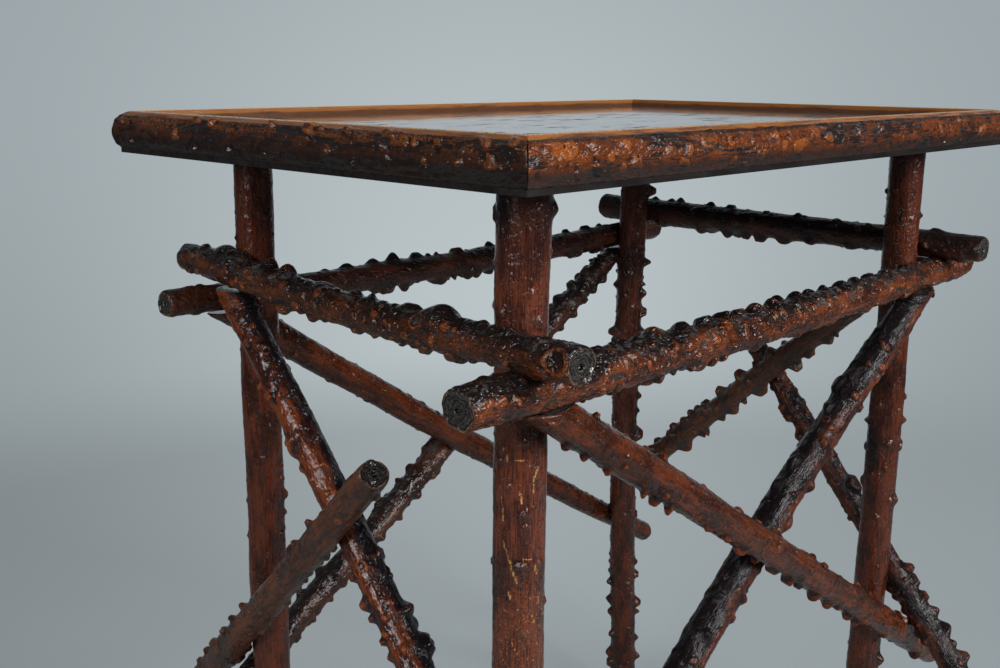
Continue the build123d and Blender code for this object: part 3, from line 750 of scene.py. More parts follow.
# The burls and knobs that show most: place along the branch, angle round it, height, half width,
# and how far it is rubbed. Each gets a partner of its size on the far side of the branch.
BURLS = {
    "stretcher_left": (
        (313, 2.0, 8.0, 7.4, 0.6), (287, 1.9, 7.2, 7.2, 0.7), (369, 2.0, 6.9, 12.9, 0.4),
        (422, 1.3, 3.2, 5.4, 0.1), (394, 1.6, 3.1, 4.4, 0.1), (241, 1.9, 2.1, 10.0, 0.1),
        (204, 1.9, 3.3, 4.1, 0.1), (187, 1.9, 3.9, 4.0, 0.2), (147, 1.9, 3.1, 9.1, 0.0),
        (115, 1.9, 6.7, 15.6, 0.2), (80, 1.9, 2.3, 3.9, 0.1), (54, 1.4, 2.8, 3.5, 0.1),
        (29, 1.1, 2.8, 4.3, 0.0), (20, 0.9, 2.2, 3.7, 0.0), (279, -1.1, 5.7, 8.0, 0.8),
        (254, -0.5, 2.1, 5.4, 1.0), (321, -0.2, 2.2, 4.1, 0.8), (305, -1.1, 2.2, 4.1, 0.5),
        (243, -1.1, 4.1, 5.4, 0.3), (193, -1.2, 3.3, 5.1, 0.6), (175, -1.2, 2.6, 3.6, 0.2),
        (147, -1.2, 2.5, 4.2, 0.2), (126, -1.2, 4.3, 5.5, 0.1), (100, -1.2, 4.8, 8.0, 0.0),
        (82, -1.2, 1.8, 3.3, 0.2), (231, 0.8, 1.7, 5.0, 1.0), (169, 0.5, 1.3, 4.3, 0.8),
        (153, -0.7, 1.3, 3.5, 0.7), (135, -0.2, 1.5, 4.2, 0.8), (103, 0.8, 1.5, 4.7, 0.9),
        (64, 0.5, 1.1, 5.8, 0.2), (53, -0.3, 1.1, 3.8, 0.2), (215, -0.5, 1.3, 4.5, 0.6),
        (273, 0.7, 1.4, 4.0, 0.9), (346, 0.2, 2.3, 5.1, 0.5), (385, 0.7, 2.3, 6.1, 0.5),
        (404, -0.7, 2.4, 4.4, 0.2), (422, 1.2, 2.4, 3.6, 0.0), (422, -0.3, 2.4, 2.7, 0.0),
        (29, -1.1, 1.1, 3.1, 0.1)),
    "stretcher_front": (
        (121, 1.2, 3.0, 4.8, 0.0), (135, 1.4, 3.1, 3.5, 0.0), (145, 1.3, 3.1, 4.9, 0.0),
        (158, 1.4, 3.2, 4.2, 0.0), (179, 1.2, 5.8, 9.4, 0.9), (210, 1.4, 5.3, 8.2, 0.0),
        (239, 1.2, 5.5, 6.9, 0.0), (261, 1.2, 5.6, 6.3, 0.1), (282, 1.2, 4.3, 5.6, 0.6),
        (300, 1.4, 5.1, 7.3, 0.9), (325, 1.3, 5.2, 5.8, 0.8), (334, 1.2, 6.0, 5.8, 0.0),
        (361, 1.3, 5.3, 6.0, 0.1), (382, 1.2, 4.6, 5.2, 0.0), (404, 1.2, 4.7, 5.3, 0.3),
        (430, 1.2, 4.0, 5.4, 0.1), (454, 1.3, 4.1, 5.5, 0.0), (478, 1.3, 4.2, 5.1, 0.3),
        (507, 1.4, 3.4, 5.3, 0.1), (535, 1.5, 3.5, 4.9, 0.0), (174, -2.0, 5.1, 5.8, 0.5),
        (191, -2.0, 2.6, 3.3, 0.2), (152, -2.0, 2.5, 2.8, 0.1), (215, -2.0, 4.0, 5.2, 0.4),
        (233, -2.0, 4.1, 5.3, 0.8), (248, -2.0, 2.8, 4.6, 0.6), (290, -2.0, 2.9, 5.6, 0.3),
        (349, -2.0, 3.0, 5.9, 0.2), (401, -2.0, 2.4, 5.3, 0.3), (460, -2.1, 2.5, 5.5, 0.2),
        (183, 2.5, 1.6, 4.4, 0.8), (215, 3.0, 1.6, 3.7, 0.2), (228, 2.7, 2.0, 5.3, 0.9),
        (248, 2.0, 2.1, 6.2, 1.0), (265, 2.8, 2.1, 5.5, 0.5), (288, 2.7, 1.4, 4.0, 0.7),
        (309, 2.3, 2.2, 4.9, 0.8), (347, 2.8, 1.8, 5.1, 0.5), (386, 2.5, 1.9, 5.2, 0.6),
        (434, 2.7, 1.9, 4.5, 0.6), (494, 3.1, 2.0, 4.7, 0.4), (555, -3.1, 2.1, 4.9, 0.5),
        (153, 2.2, 1.6, 3.5, 0.0), (138, 2.4, 1.5, 4.2, 0.0), (23, 2.9, 1.1, 3.7, 0.8),
        (35, -3.0, 1.3, 3.1, 0.0), (19, -2.5, 1.3, 3.7, 0.0), (65, -2.0, 1.1, 3.2, 0.1),
        (56, -3.1, 1.1, 7.6, 0.0), (1, 1.3, 1.6, 2.4, 0.0), (0, 1.9, 1.6, 2.1, 0.0),
        (98, -2.0, 1.8, 2.7, 0.0), (127, -2.0, 2.5, 4.8, 0.0), (598, 2.1, 1.8, 9.2, 0.2),
        (622, -2.6, 1.8, 7.3, 0.1), (530, -2.1, 2.1, 5.8, 0.8), (652, 2.4, 1.9, 5.3, 0.1)),
    "stretcher_back": (
        (178, 1.4, 3.5, 6.3, 0.0), (208, 1.4, 4.4, 6.0, 0.2), (233, 1.4, 7.2, 7.1, 0.1),
        (257, 1.4, 4.6, 6.2, 0.0), (275, 1.4, 2.8, 2.6, 0.1), (285, 1.4, 2.8, 2.6, 0.1),
        (312, 1.4, 4.8, 6.4, 0.0), (359, 1.3, 4.9, 5.5, 0.0), (154, 1.4, 1.7, 3.8, 0.0),
        (220, -1.8, 7.2, 8.5, 0.2), (285, -1.8, 5.6, 8.4, 0.1), (302, -2.1, 3.8, 3.2, 0.1),
        (334, -1.8, 4.8, 7.0, 0.1), (476, 1.3, 4.2, 5.3, 0.0), (510, 1.3, 4.3, 6.1, 0.0),
        (536, 1.3, 3.3, 4.9, 0.0), (486, -2.3, 4.3, 7.2, 0.1), (528, -1.8, 3.3, 6.1, 0.1),
        (186, 2.9, 1.7, 2.9, 0.4), (5, -1.8, 2.3, 5.1, 0.1), (32, 1.4, 1.5, 4.3, 0.0)),
    "stretcher_right": (
        (357, 1.7, 3.3, 4.9, 0.1), (336, 1.7, 3.3, 4.9, 0.1), (324, 1.7, 5.4, 6.1, 0.1),
        (287, 1.7, 4.2, 4.2, 0.1), (261, 1.7, 4.2, 5.3, 0.1), (220, 1.5, 2.0, 3.4, 0.1),
        (182, 1.4, 3.0, 4.5, 0.1), (141, 1.2, 2.9, 4.9, 0.1), (109, 1.1, 2.9, 4.3, 0.1),
        (342, -0.9, 3.3, 7.3, 0.2), (291, -1.1, 5.3, 10.7, 0.2), (261, -1.4, 6.3, 7.6, 0.2),
        (241, -1.4, 6.2, 5.2, 0.3), (225, -1.4, 7.2, 6.3, 0.3), (196, -1.4, 5.0, 7.9, 0.2),
        (162, -0.9, 3.9, 6.6, 0.2), (125, -1.0, 2.9, 6.5, 0.2), (47, 1.7, 2.7, 6.2, 0.3),
        (19, -1.4, 2.7, 7.0, 0.3), (249, 0.1, 2.1, 4.6, 0.5), (299, 0.6, 2.1, 4.8, 0.3),
        (49, 0.0, 2.8, 4.6, 0.5)),
    "brace_left_inner": (
        (404, -0.6, 4.4, 9.8, 1.0), (313, -0.6, 2.8, 3.9, 0.1), (295, -0.6, 4.2, 3.9, 0.3),
        (277, -0.6, 5.6, 7.0, 0.6), (265, -0.6, 4.8, 4.6, 0.3), (248, -0.6, 4.1, 4.6, 0.2),
        (237, -0.6, 3.4, 3.8, 0.6), (304, 2.0, 3.5, 7.1, 0.4), (262, 2.2, 6.2, 9.3, 0.3),
        (230, 2.5, 7.5, 9.5, 0.0), (268, 1.2, 1.4, 2.7, 0.8), (302, 1.5, 1.8, 4.7, 0.7),
        (287, 1.6, 1.4, 3.1, 0.6), (250, 0.1, 2.1, 3.8, 0.8), (235, 0.8, 2.0, 3.8, 0.7),
        (508, 0.6, 3.8, 5.1, 0.1), (521, 0.4, 3.0, 4.2, 0.1), (477, 0.9, 3.0, 5.0, 0.1),
        (486, 0.3, 3.0, 3.4, 0.6), (454, 0.9, 3.7, 4.2, 0.0), (437, 0.9, 3.0, 5.8, 0.3),
        (422, 1.8, 2.9, 3.3, 0.0), (454, -0.6, 4.5, 4.2, 0.9), (440, 0.0, 4.4, 3.7, 0.7),
        (404, 0.6, 2.2, 3.7, 0.0), (377, 1.2, 2.2, 3.6, 0.4), (384, -0.6, 2.2, 4.9, 0.7),
        (372, 0.0, 2.2, 3.2, 0.5), (398, 1.6, 2.2, 3.3, 0.0)),
    "brace_left_outer": (
        (95, 1.0, 4.9, 3.1, 0.0), (128, 1.0, 3.6, 3.2, 0.7), (139, 1.0, 3.7, 3.3, 0.1),
        (173, 1.0, 3.0, 2.5, 0.1), (254, 1.0, 4.8, 3.6, 0.1), (283, 1.0, 4.9, 4.1, 0.1),
        (306, 0.8, 4.2, 4.2, 0.1), (334, 0.8, 4.3, 5.3, 0.2), (360, 1.0, 4.4, 4.4, 0.3),
        (385, 1.0, 3.5, 3.5, 0.2), (16, -2.0, 2.6, 3.3, 0.1), (113, -2.0, 2.9, 4.0, 0.1),
        (203, -2.1, 3.1, 4.3, 0.1), (158, -2.0, 2.2, 3.3, 0.1), (262, -1.8, 3.2, 4.1, 0.1),
        (52, -0.7, 1.7, 4.5, 1.0), (99, 0.5, 1.1, 2.4, 0.8), (222, -0.7, 1.6, 2.6, 1.0),
        (235, 0.0, 1.6, 2.7, 0.8), (261, 0.3, 1.9, 2.7, 0.8), (322, 0.3, 2.0, 3.8, 0.6),
        (331, -1.6, 2.0, 3.8, 0.3), (2, 1.0, 3.2, 2.5, 0.0), (198, 0.0, 1.5, 2.1, 0.2)),
    "brace_front_inner": (
        (592, 0.8, 4.3, 6.8, 0.0), (566, 1.3, 3.4, 4.8, 0.0), (506, 1.3, 4.2, 7.5, 0.0),
        (483, 1.2, 3.3, 6.5, 0.0), (584, -2.6, 3.4, 4.3, 0.3), (534, -2.6, 3.4, 4.7, 0.3),
        (500, -2.6, 4.2, 7.4, 0.2), (462, -2.6, 4.1, 8.2, 0.1), (617, 2.0, 2.3, 3.9, 1.0),
        (587, 2.4, 2.2, 4.3, 1.0), (534, 2.4, 2.4, 4.7, 1.0), (481, 2.5, 1.6, 2.8, 0.4),
        (640, 2.0, 2.6, 3.9, 1.0), (430, 1.9, 3.2, 5.4, 0.0), (405, 1.8, 4.0, 6.2, 0.0),
        (387, -2.6, 3.9, 6.2, 0.4), (373, 1.8, 3.1, 4.4, 0.0), (366, -2.6, 3.1, 4.4, 0.3),
        (339, 2.3, 3.1, 4.3, 0.0), (390, 1.4, 1.6, 3.5, 0.3)),
    "brace_front_outer": (
        (82, -1.8, 4.4, 3.5, 1.0), (87, -2.6, 2.5, 2.8, 1.0), (84, -3.1, 1.9, 2.8, 0.0),
        (118, -2.3, 2.9, 4.4, 0.0), (132, -1.7, 5.3, 3.7, 1.0), (148, -1.5, 5.4, 4.5, 0.5),
        (168, -1.6, 6.2, 4.6, 1.0), (146, -2.4, 2.7, 3.4, 0.9), (138, -2.6, 2.0, 3.0, 0.0),
        (167, -2.9, 2.1, 1.9, 0.2), (56, -1.7, 3.7, 3.1, 0.7), (41, -1.6, 3.6, 4.1, 0.0),
        (195, -2.2, 2.1, 2.7, 1.0), (219, -2.0, 3.6, 3.6, 0.8), (244, -2.1, 4.4, 3.3, 0.6),
        (276, -1.8, 5.3, 5.1, 0.6), (296, 2.8, 2.3, 3.0, 1.0), (315, 2.6, 2.3, 2.6, 0.6),
        (344, -1.4, 4.8, 5.4, 0.1), (376, -1.4, 6.5, 6.4, 0.0), (397, -1.4, 4.2, 3.7, 0.1),
        (429, -1.5, 6.0, 6.2, 0.1), (458, -1.6, 5.2, 5.8, 0.1), (473, -1.9, 2.6, 3.4, 0.7),
        (506, -1.6, 5.4, 4.5, 0.3), (531, -1.5, 6.4, 5.1, 0.3), (528, -2.1, 3.7, 4.1, 0.9),
        (378, 3.1, 2.0, 2.7, 0.7), (393, 1.8, 3.3, 3.7, 0.0), (414, 2.1, 3.4, 3.8, 0.7),
        (352, -2.0, 2.0, 2.7, 0.5), (690, -1.8, 5.1, 6.3, 0.1), (734, -1.8, 5.2, 4.7, 0.6),
        (616, 2.4, 3.9, 4.4, 0.9), (613, 1.8, 2.9, 4.9, 0.2), (595, -1.9, 2.9, 4.3, 0.3),
        (312, -1.4, 3.9, 4.3, 0.1)),
    "brace_back_outer": (
        (387, 0.8, 5.9, 11.0, 0.1), (359, 0.8, 4.8, 7.6, 0.1), (341, 0.8, 4.8, 6.5, 0.1),
        (311, 0.8, 4.7, 7.4, 0.1), (224, 0.8, 5.5, 7.1, 0.1), (368, -2.3, 3.9, 6.5, 0.1),
        (343, -2.3, 4.8, 6.5, 0.2), (313, -2.3, 4.7, 5.8, 0.2), (285, -2.6, 3.7, 5.2, 0.2),
        (230, -2.3, 3.6, 6.1, 0.1), (211, -2.5, 3.6, 5.1, 0.1), (189, -2.3, 3.6, 5.0, 0.2),
        (167, -2.3, 3.5, 4.9, 0.1), (197, 0.8, 4.5, 6.0, 0.1), (317, 2.1, 1.9, 4.3, 0.9),
        (296, 2.3, 1.9, 3.2, 0.9), (346, 1.7, 2.4, 4.9, 0.2), (707, 1.8, 5.6, 7.5, 0.1),
        (685, 1.7, 6.6, 6.8, 0.1), (651, 1.7, 6.6, 7.3, 0.1), (631, 1.3, 6.5, 7.3, 0.1),
        (607, 1.0, 6.4, 7.2, 0.1), (665, -2.3, 5.5, 7.4, 0.2), (647, -2.3, 4.4, 6.7, 0.2),
        (631, -2.3, 4.3, 6.1, 0.1), (609, -2.3, 5.4, 7.2, 0.1), (588, -2.3, 4.3, 6.0, 0.2),
        (623, 2.7, 3.2, 5.4, 0.0), (597, 2.6, 3.2, 4.8, 0.0)),
    "brace_right_inner": (
        (372, 0.7, 6.9, 7.0, 0.1), (335, 0.6, 6.7, 5.7, 0.1), (310, 0.9, 6.6, 8.7, 0.1),
        (278, 0.5, 7.6, 6.7, 0.1), (247, 0.9, 8.6, 6.6, 0.1), (221, 1.4, 8.4, 8.3, 0.1),
        (199, 1.4, 5.2, 4.7, 0.1), (175, 1.4, 7.2, 6.9, 0.0), (335, -1.7, 9.0, 8.2, 0.4),
        (299, -1.7, 7.7, 5.5, 0.3), (307, -1.7, 6.6, 5.0, 0.2), (273, -1.7, 5.4, 6.1, 0.2),
        (254, -1.7, 7.5, 8.4, 0.1), (238, -1.7, 5.3, 4.2, 0.1), (216, -1.7, 8.4, 8.2, 0.3),
        (165, -1.7, 9.2, 7.4, 0.1), (140, -1.7, 6.0, 6.2, 0.1), (115, -1.7, 6.0, 7.2, 0.3),
        (104, -1.4, 4.9, 3.9, 0.1), (186, -1.7, 3.1, 4.6, 0.2)),
    "brace_right_outer": (
        (318, -0.9, 6.3, 8.2, 0.1), (283, -0.9, 6.2, 6.9, 0.2), (358, 0.4, 4.2, 5.3, 0.1),
        (425, 1.4, 5.4, 9.6, 0.0), (217, 1.7, 6.1, 10.2, 0.1), (125, 2.2, 7.9, 7.7, 0.2),
        (107, 2.2, 5.9, 6.6, 0.1), (93, 2.0, 5.8, 6.6, 0.2), (77, 2.2, 6.8, 7.1, 0.1),
        (60, 2.2, 7.7, 8.6, 0.1), (26, 2.2, 7.6, 7.5, 0.1), (42, 2.2, 3.8, 5.4, 0.1),
        (111, -0.8, 3.9, 4.4, 0.1), (90, -0.8, 3.9, 6.5, 0.1), (58, -0.4, 4.8, 6.5, 0.1),
        (190, -0.9, 3.0, 3.4, 0.2), (251, 1.6, 3.1, 5.2, 0.1), (315, 2.2, 2.1, 4.7, 0.1)),
    "leg_front_left": (
        (663, -0.9, 3.5, 5.8, 0.0), (659, 2.3, 2.3, 4.5, 0.0), (617, -2.1, 1.3, 4.6, 0.2),
        (604, 3.1, 1.9, 2.4, 0.8), (597, -1.7, 2.4, 4.2, 0.9), (633, -2.8, 0.8, 1.6, 0.3),
        (582, 2.8, 1.6, 2.2, 0.8), (606, 2.3, 1.2, 2.0, 0.0), (632, 2.3, 1.2, 1.6, 0.0),
        (480, -2.2, 2.2, 4.1, 0.8), (447, -2.3, 1.9, 4.2, 0.8), (447, -1.6, 1.8, 3.1, 0.8),
        (401, -2.2, 2.0, 3.5, 0.8), (632, 2.7, 0.8, 1.6, 0.0), (610, -1.2, 0.9, 1.7, 0.0),
        (497, -1.2, 1.0, 2.1, 0.0), (443, 2.3, 1.5, 2.8, 0.0), (417, -0.9, 1.5, 2.8, 0.0),
        (497, 3.1, 1.0, 2.4, 0.2), (516, -2.9, 1.1, 2.7, 0.2)),
    "leg_back_left": (
        (403, -0.8, 3.3, 4.6, 0.3), (389, -0.9, 2.5, 2.3, 0.1), (372, -1.2, 2.5, 2.8, 0.1),
        (420, -1.1, 2.4, 2.7, 0.1), (431, -1.1, 2.4, 2.3, 0.1), (370, 2.6, 1.6, 2.3, 0.1),
        (565, -1.4, 1.6, 2.2, 0.1), (615, 2.8, 1.5, 2.6, 0.0), (620, -2.4, 1.2, 2.2, 0.3),
        (632, -1.6, 1.2, 2.6, 0.3), (440, -2.2, 1.5, 2.7, 0.1), (342, -3.1, 1.3, 2.3, 0.0),
        (595, -0.9, 1.5, 2.2, 0.0), (529, -2.1, 1.3, 3.5, 0.2), (467, -1.8, 1.3, 2.7, 0.2)),
    "leg_front_right": (
        (420, 2.0, 3.8, 5.3, 0.0), (361, 2.0, 2.9, 5.4, 0.0), (447, -1.2, 2.8, 3.2, 0.4),
        (423, -1.2, 3.8, 4.8, 0.1), (399, -1.2, 2.9, 6.4, 0.2), (346, -1.4, 3.8, 6.5, 0.2),
        (403, -2.4, 2.3, 4.3, 0.5), (378, -2.4, 1.9, 3.7, 0.7), (346, -1.9, 2.4, 4.3, 0.5),
        (328, -2.7, 1.9, 2.7, 0.6), (459, -2.4, 1.9, 4.2, 0.1), (440, -3.1, 1.9, 3.2, 0.3),
        (370, 3.0, 1.7, 3.2, 0.1), (606, 2.7, 2.7, 2.0, 0.0), (636, 2.0, 2.7, 2.5, 0.0),
        (617, -1.2, 2.7, 2.5, 0.0), (179, -1.5, 6.0, 5.6, 0.0)),
    "leg_back_right": (
        (614, -0.9, 8.7, 7.3, 0.1), (535, -0.9, 7.7, 6.8, 0.2), (514, -1.3, 4.4, 3.7, 0.1),
        (503, -1.2, 5.6, 5.0, 0.1), (509, 2.2, 4.4, 5.6, 0.1), (479, -0.9, 7.8, 6.9, 0.2),
        (458, -0.9, 7.8, 8.2, 0.2), (434, -1.2, 4.5, 5.0, 0.1), (441, 2.8, 3.4, 5.0, 0.1),
        (383, -0.9, 4.5, 4.4, 0.1), (338, -0.9, 8.0, 8.3, 0.1), (366, -0.9, 3.4, 4.5, 0.1),
        (353, 2.9, 3.4, 5.1, 0.1), (165, -0.9, 5.9, 6.0, 0.1), (129, -0.9, 7.1, 8.0, 0.1),
        (116, -0.9, 6.0, 4.0, 0.1), (83, -0.9, 4.8, 4.0, 0.1), (58, -0.9, 6.0, 5.4, 0.1),
        (181, -0.9, 3.5, 4.0, 0.1), (238, -0.9, 3.5, 3.9, 0.1), (155, 2.6, 5.9, 5.3, 0.3),
        (132, 2.2, 5.9, 6.0, 0.1), (116, 2.7, 4.8, 4.7, 0.2), (88, 2.7, 4.8, 5.4, 0.1),
        (60, 2.4, 7.2, 6.7, 0.1), (181, 2.9, 3.5, 4.0, 0.1), (157, -2.0, 2.4, 4.0, 0.2),
        (244, -2.3, 2.3, 3.3, 0.1), (200, -2.0, 2.3, 3.3, 0.1), (306, -0.9, 4.6, 4.5, 0.1)),
}

# How much wider across the branch than along it the burls are.
RIDGED = {"stretcher_front": 1.45, "stretcher_left": 1.15, "brace_front_outer": 1.1}

# Sunk knots: place, angle, depth, half width.
KNOTS = {
    "stretcher_left": (
        (9.5, 0.25, 1.8, 7.6), (210, 0.45, 0.5, 2.6), (128, 0.7, 0.7, 5.0)),
    "stretcher_front": (
        (560, 3.0, 0.5, 3.0),),
    "brace_left_inner": (
        (300, 0.6, 0.6, 3.4),),
}

# Darker stretches of a branch, added to its shade mask: place, half length, how much darker.
DARKER_STRETCHES = {
    "stretcher_left": (
        (455, 42, 0.45), (262, 14, 0.2)),
    "stretcher_front": (
        (96, 22, 0.25), (30, 40, 0.12)),
    "brace_left_inner": (
        (520, 40, 0.12),),
    "stretcher_right": (
        (0, 20, 0.1),),
}

# Stretches where pale grains show: place, half length, how many.
GRAINY = {
    "stretcher_front": (
        (40, 70, 0.36),),
    "brace_left_outer": (
        (20, 60, 0.25),),
}

# Thin raised lines across the bark: place, angle, half length.
ARCS = {
    "leg_front_left": (
        (633, -2.35, 6.0), (624, -2.30, 6.5), (614, -2.40, 5.5), (552, -2.0, 6.0)),
    "stretcher_front": (
        (24, 2.3, 6.0), (33, 2.5, 7.0), (612, 2.7, 6.0), (624, 2.6, 6.0)),
}

# Thin scratches down to the pale wood: place and angle of both ends, half width.
SCRATCHES = {
    "leg_front_left": (
        (518, -2.91, 513, -2.83, 1.1), (515, -2.55, 515, -2.24, 1.0), (512, -2.08, 509, -1.65, 1.1),
        (510, -1.65, 503, -1.86, 1.5), (503, -1.86, 494, -1.89, 1.4), (495, -2.38, 488, -2.29, 1.5),
        (486, -1.97, 485, -1.84, 1.0), (504, 2.62, 500, 2.72, 1.1), (502, -3.03, 501, -2.99, 1.1),
        (491, -3.12, 475, -3.02, 1.1), (462, -3.01, 450, -2.74, 1.3), (450, -2.74, 436, -2.45, 1.5),
        (452, -2.26, 451, -1.88, 1.0), (447, -1.78, 441, -1.68, 1.5), (429, -2.77, 425, -2.64, 1.3),
        (427, -1.50, 420, -1.60, 1.1), (426, -1.98, 425, -1.89, 1.0), (417, -2.95, 416, -2.81, 1.1),
        (419, -2.43, 418, -2.39, 1.0), (411, -1.28, 410, -0.85, 1.1), (396, -2.63, 387, -2.36, 1.0),
        (414, -1.87, 408, -1.73, 0.8), (389, -3.14, 380, -2.89, 0.8)),
}


# ---------------------------------------------------------------- branches: their bark

AXIAL_STEP = 1.2
COLUMNS = 68
BRANCH_SEED = 700
# Rows of a sawn end, as shares of the way from the pith to the bark.
END_RINGS = np.array((0.08, 0.13, 0.18, 0.22, 0.26, 0.31, 0.38, 0.46, 0.54, 0.62, 0.70, 0.78, 0.86,
                      0.92, 0.96, 0.985))
# Small growths on every branch: millimetres from one to the next, heights, widths.
WARTS = (6.5, (0.30, 1.00), (1.4, 2.6))
GRAINS = (3.6, (0.15, 0.45), (1.0, 1.7))
# How far a burl's partner is thrown along the branch and round it.
PARTNER_SHIFT = 14
PARTNER_TURN = 0.9
# Half widths from which a burl is ridged, and from which a knot's lip is pale.
BROAD_BURL = 3.6
BROAD_KNOT = 6.0
LINE_HALF = 0.8
# Lengths along the branch and widths round it: slow swellings, grit, patches of the dark side, and
# what a hollow is measured against. A hill is HILL_WIDTH wide.
SWELLING = (22.0, 8.0)
GRIT = (1.6, 1.2)
DARK_PATCH = (14.0, 7.0)
AROUND_HOLLOW = (2.8, 2.8)
HILL_WIDTH = 2.6
# A branch has a small sunk knot for each of these lengths: angle, depth and half width, from - to.
KNOT_SPACING = 90
KNOT_FROM = (-3.1, 0.3, 1.6)
KNOT_TO = (3.1, 0.6, 3.0)
ROUND_OFF = 1.2
ROUND_OFF_LENGTH = 0.9
END_PROUD = 0.2
# How far from a saw cut the rows start to lean, and how far in t from the end it is looked for.
SAW_LEAN = 60.0
SAW_SEARCH = 0.2
# Place along the grain at which each branch starts, times its number.
GRAIN_SHIFT = 900.0


def scattered(length, radius, spacing, random):
    """A place and an angle for each cell of a grid over the bark, thrown about its cell."""
    rows = int(length / spacing)
    columns = round(2 * math.pi * radius / spacing)
    place = (np.arange(rows)[:, None] + random.uniform(-0.2, 1.2, (rows, columns))) * length / rows
    turn = (np.arange(columns) + random.uniform(-0.2, 1.2, (rows, columns))
            + random.uniform(0, columns, (rows, 1)))
    return place.ravel(), (turn * 2 * math.pi / columns).ravel()


def grown_knobs(name, length, radius, frame_across, random):
    """Knobs over the bark, fewer away from the rough side, then warts and grains, then the burls
    of this branch and their partners. None stands up at the very ends."""
    spacing, smooth_share, wart_share, heights, widths, rough_way = GROWTH[name]
    level, square = frame_across
    rough_angle = math.atan2(np.array(rough_way, float) @ square,
                             np.array(rough_way, float) @ level)
    rows = []
    for (gap, (low, high), (narrow, broad)), share, uneven in (
            ((spacing, heights, widths), smooth_share, 1), (WARTS, wart_share, 0),
            (GRAINS, wart_share, 0)):
        place, angle = scattered(length, radius, gap, random)
        rough = rise(0.9 * (0.5 + 0.5 * np.cos(angle - rough_angle)))
        grows = random.uniform(0, 1, len(place)) < share + (1 - share) * rough * uneven
        place, angle = place[grows], angle[grows]
        size = random.beta(1.3, 2.2, len(place))
        spread = np.clip(size + random.normal(0, 0.25, len(place)), 0, 1.1)
        bare = np.clip(random.uniform(-1.2, 1.2, len(place)), 0, 1)
        rows.append(np.stack([place, angle, low + (high - low) * size,
                              narrow + (broad - narrow) * spread, bare], axis=1))
    if name in BURLS:
        burls = np.array(BURLS[name])
        partners = burls.copy()
        partners[:, 0] += random.uniform(-PARTNER_SHIFT, PARTNER_SHIFT, len(burls))
        far_side = np.angle(-np.exp(1j * burls[:, 1]).sum())
        partners[:, 1] = far_side + random.uniform(-PARTNER_TURN, PARTNER_TURN, len(burls))
        rows += [burls, partners]
    place, angle, tall, wide, bare = np.concatenate(rows).T
    tall = tall * rise(np.minimum(place, length - place) / 7.0 - 0.4)
    count = len(place)
    across = np.where(wide > BROAD_BURL, RIDGED.get(name, 1.0), 1.0)
    knobs = np.stack((place, angle, bare, tall, wide * across, random.uniform(-0.4, 0.4, count),
                      random.uniform(-0.2, 0.5, count).clip(0),
                      random.uniform(0.85, 1.3, count) / across,
                      random.uniform(0, 6.3, count)), axis=1)
    return knobs[tall > 0.05]


def sunk_knots(along, around, radius, knots):
    """With d the distance from the knot's middle over its half width: a bowl of
    depth x rise(1.15 - d) inside a lip 0.35 depth high at d = 1. Also a mask of the lips, one of
    the lips of the broad knots, which show pale wood, and one of the bowls of those."""
    sunk = np.zeros((len(along), len(around)))
    lips, pale, bowls = np.zeros((3, *sunk.shape))
    for place, angle, depth, half in knots:
        far = np.hypot((along - place)[:, None], aside_from(angle, around, radius)) / half
        lip, bowl = bell(far - 1, 0.2), rise(1.15 - far)
        sunk += 0.35 * depth * lip - depth * bowl
        lips = np.maximum(lips, lip)
        pale = np.maximum(pale, 0.62 * lip * (half > BROAD_KNOT))
        bowls = np.maximum(bowls, bowl * (half > BROAD_KNOT))
    return sunk, lips, pale, bowls


def raised_lines(along, around, radius, lines):
    """Each line is 0.5 exp(-(s / 0.8)^2) high at s mm from it along the branch. It bows by
    1.2 (aside / half)^2 and ends softly at its half length."""
    height = np.zeros((len(along), len(around)))
    for place, angle, half in lines:
        aside = np.abs(aside_from(angle, around, radius))
        bow = 1.2 * (aside / half) ** 2
        ridge = bell(along[:, None] - place + bow, LINE_HALF)
        height += 0.5 * ridge * rise(1.6 * (1 - aside / half))
    return height


def scratched(along, around, radius, scratches):
    """exp(-(d / half width)^2) at d mm over the bark from the nearest scratch, each a straight line
    between its two ends."""
    mask = np.zeros((len(along), len(around)))
    for place, angle, last_place, last_angle, half in scratches:
        ahead = (along - place)[:, None]
        aside = aside_from(angle, around, radius)
        run, turn = last_place - place, (last_angle - angle) * radius
        share = np.clip((ahead * run + aside * turn) / (run ** 2 + turn ** 2), 0, 1)
        far = np.hypot(ahead - share * run, aside - share * turn)
        mask = np.maximum(mask, bell(far, half))
    return mask


def stretches(rows, stations):
    """amount x exp(-((station - place) / half length)^2) for each (place, half length, amount)."""
    return [amount * bell(stations - place, half) for place, half, amount in rows]


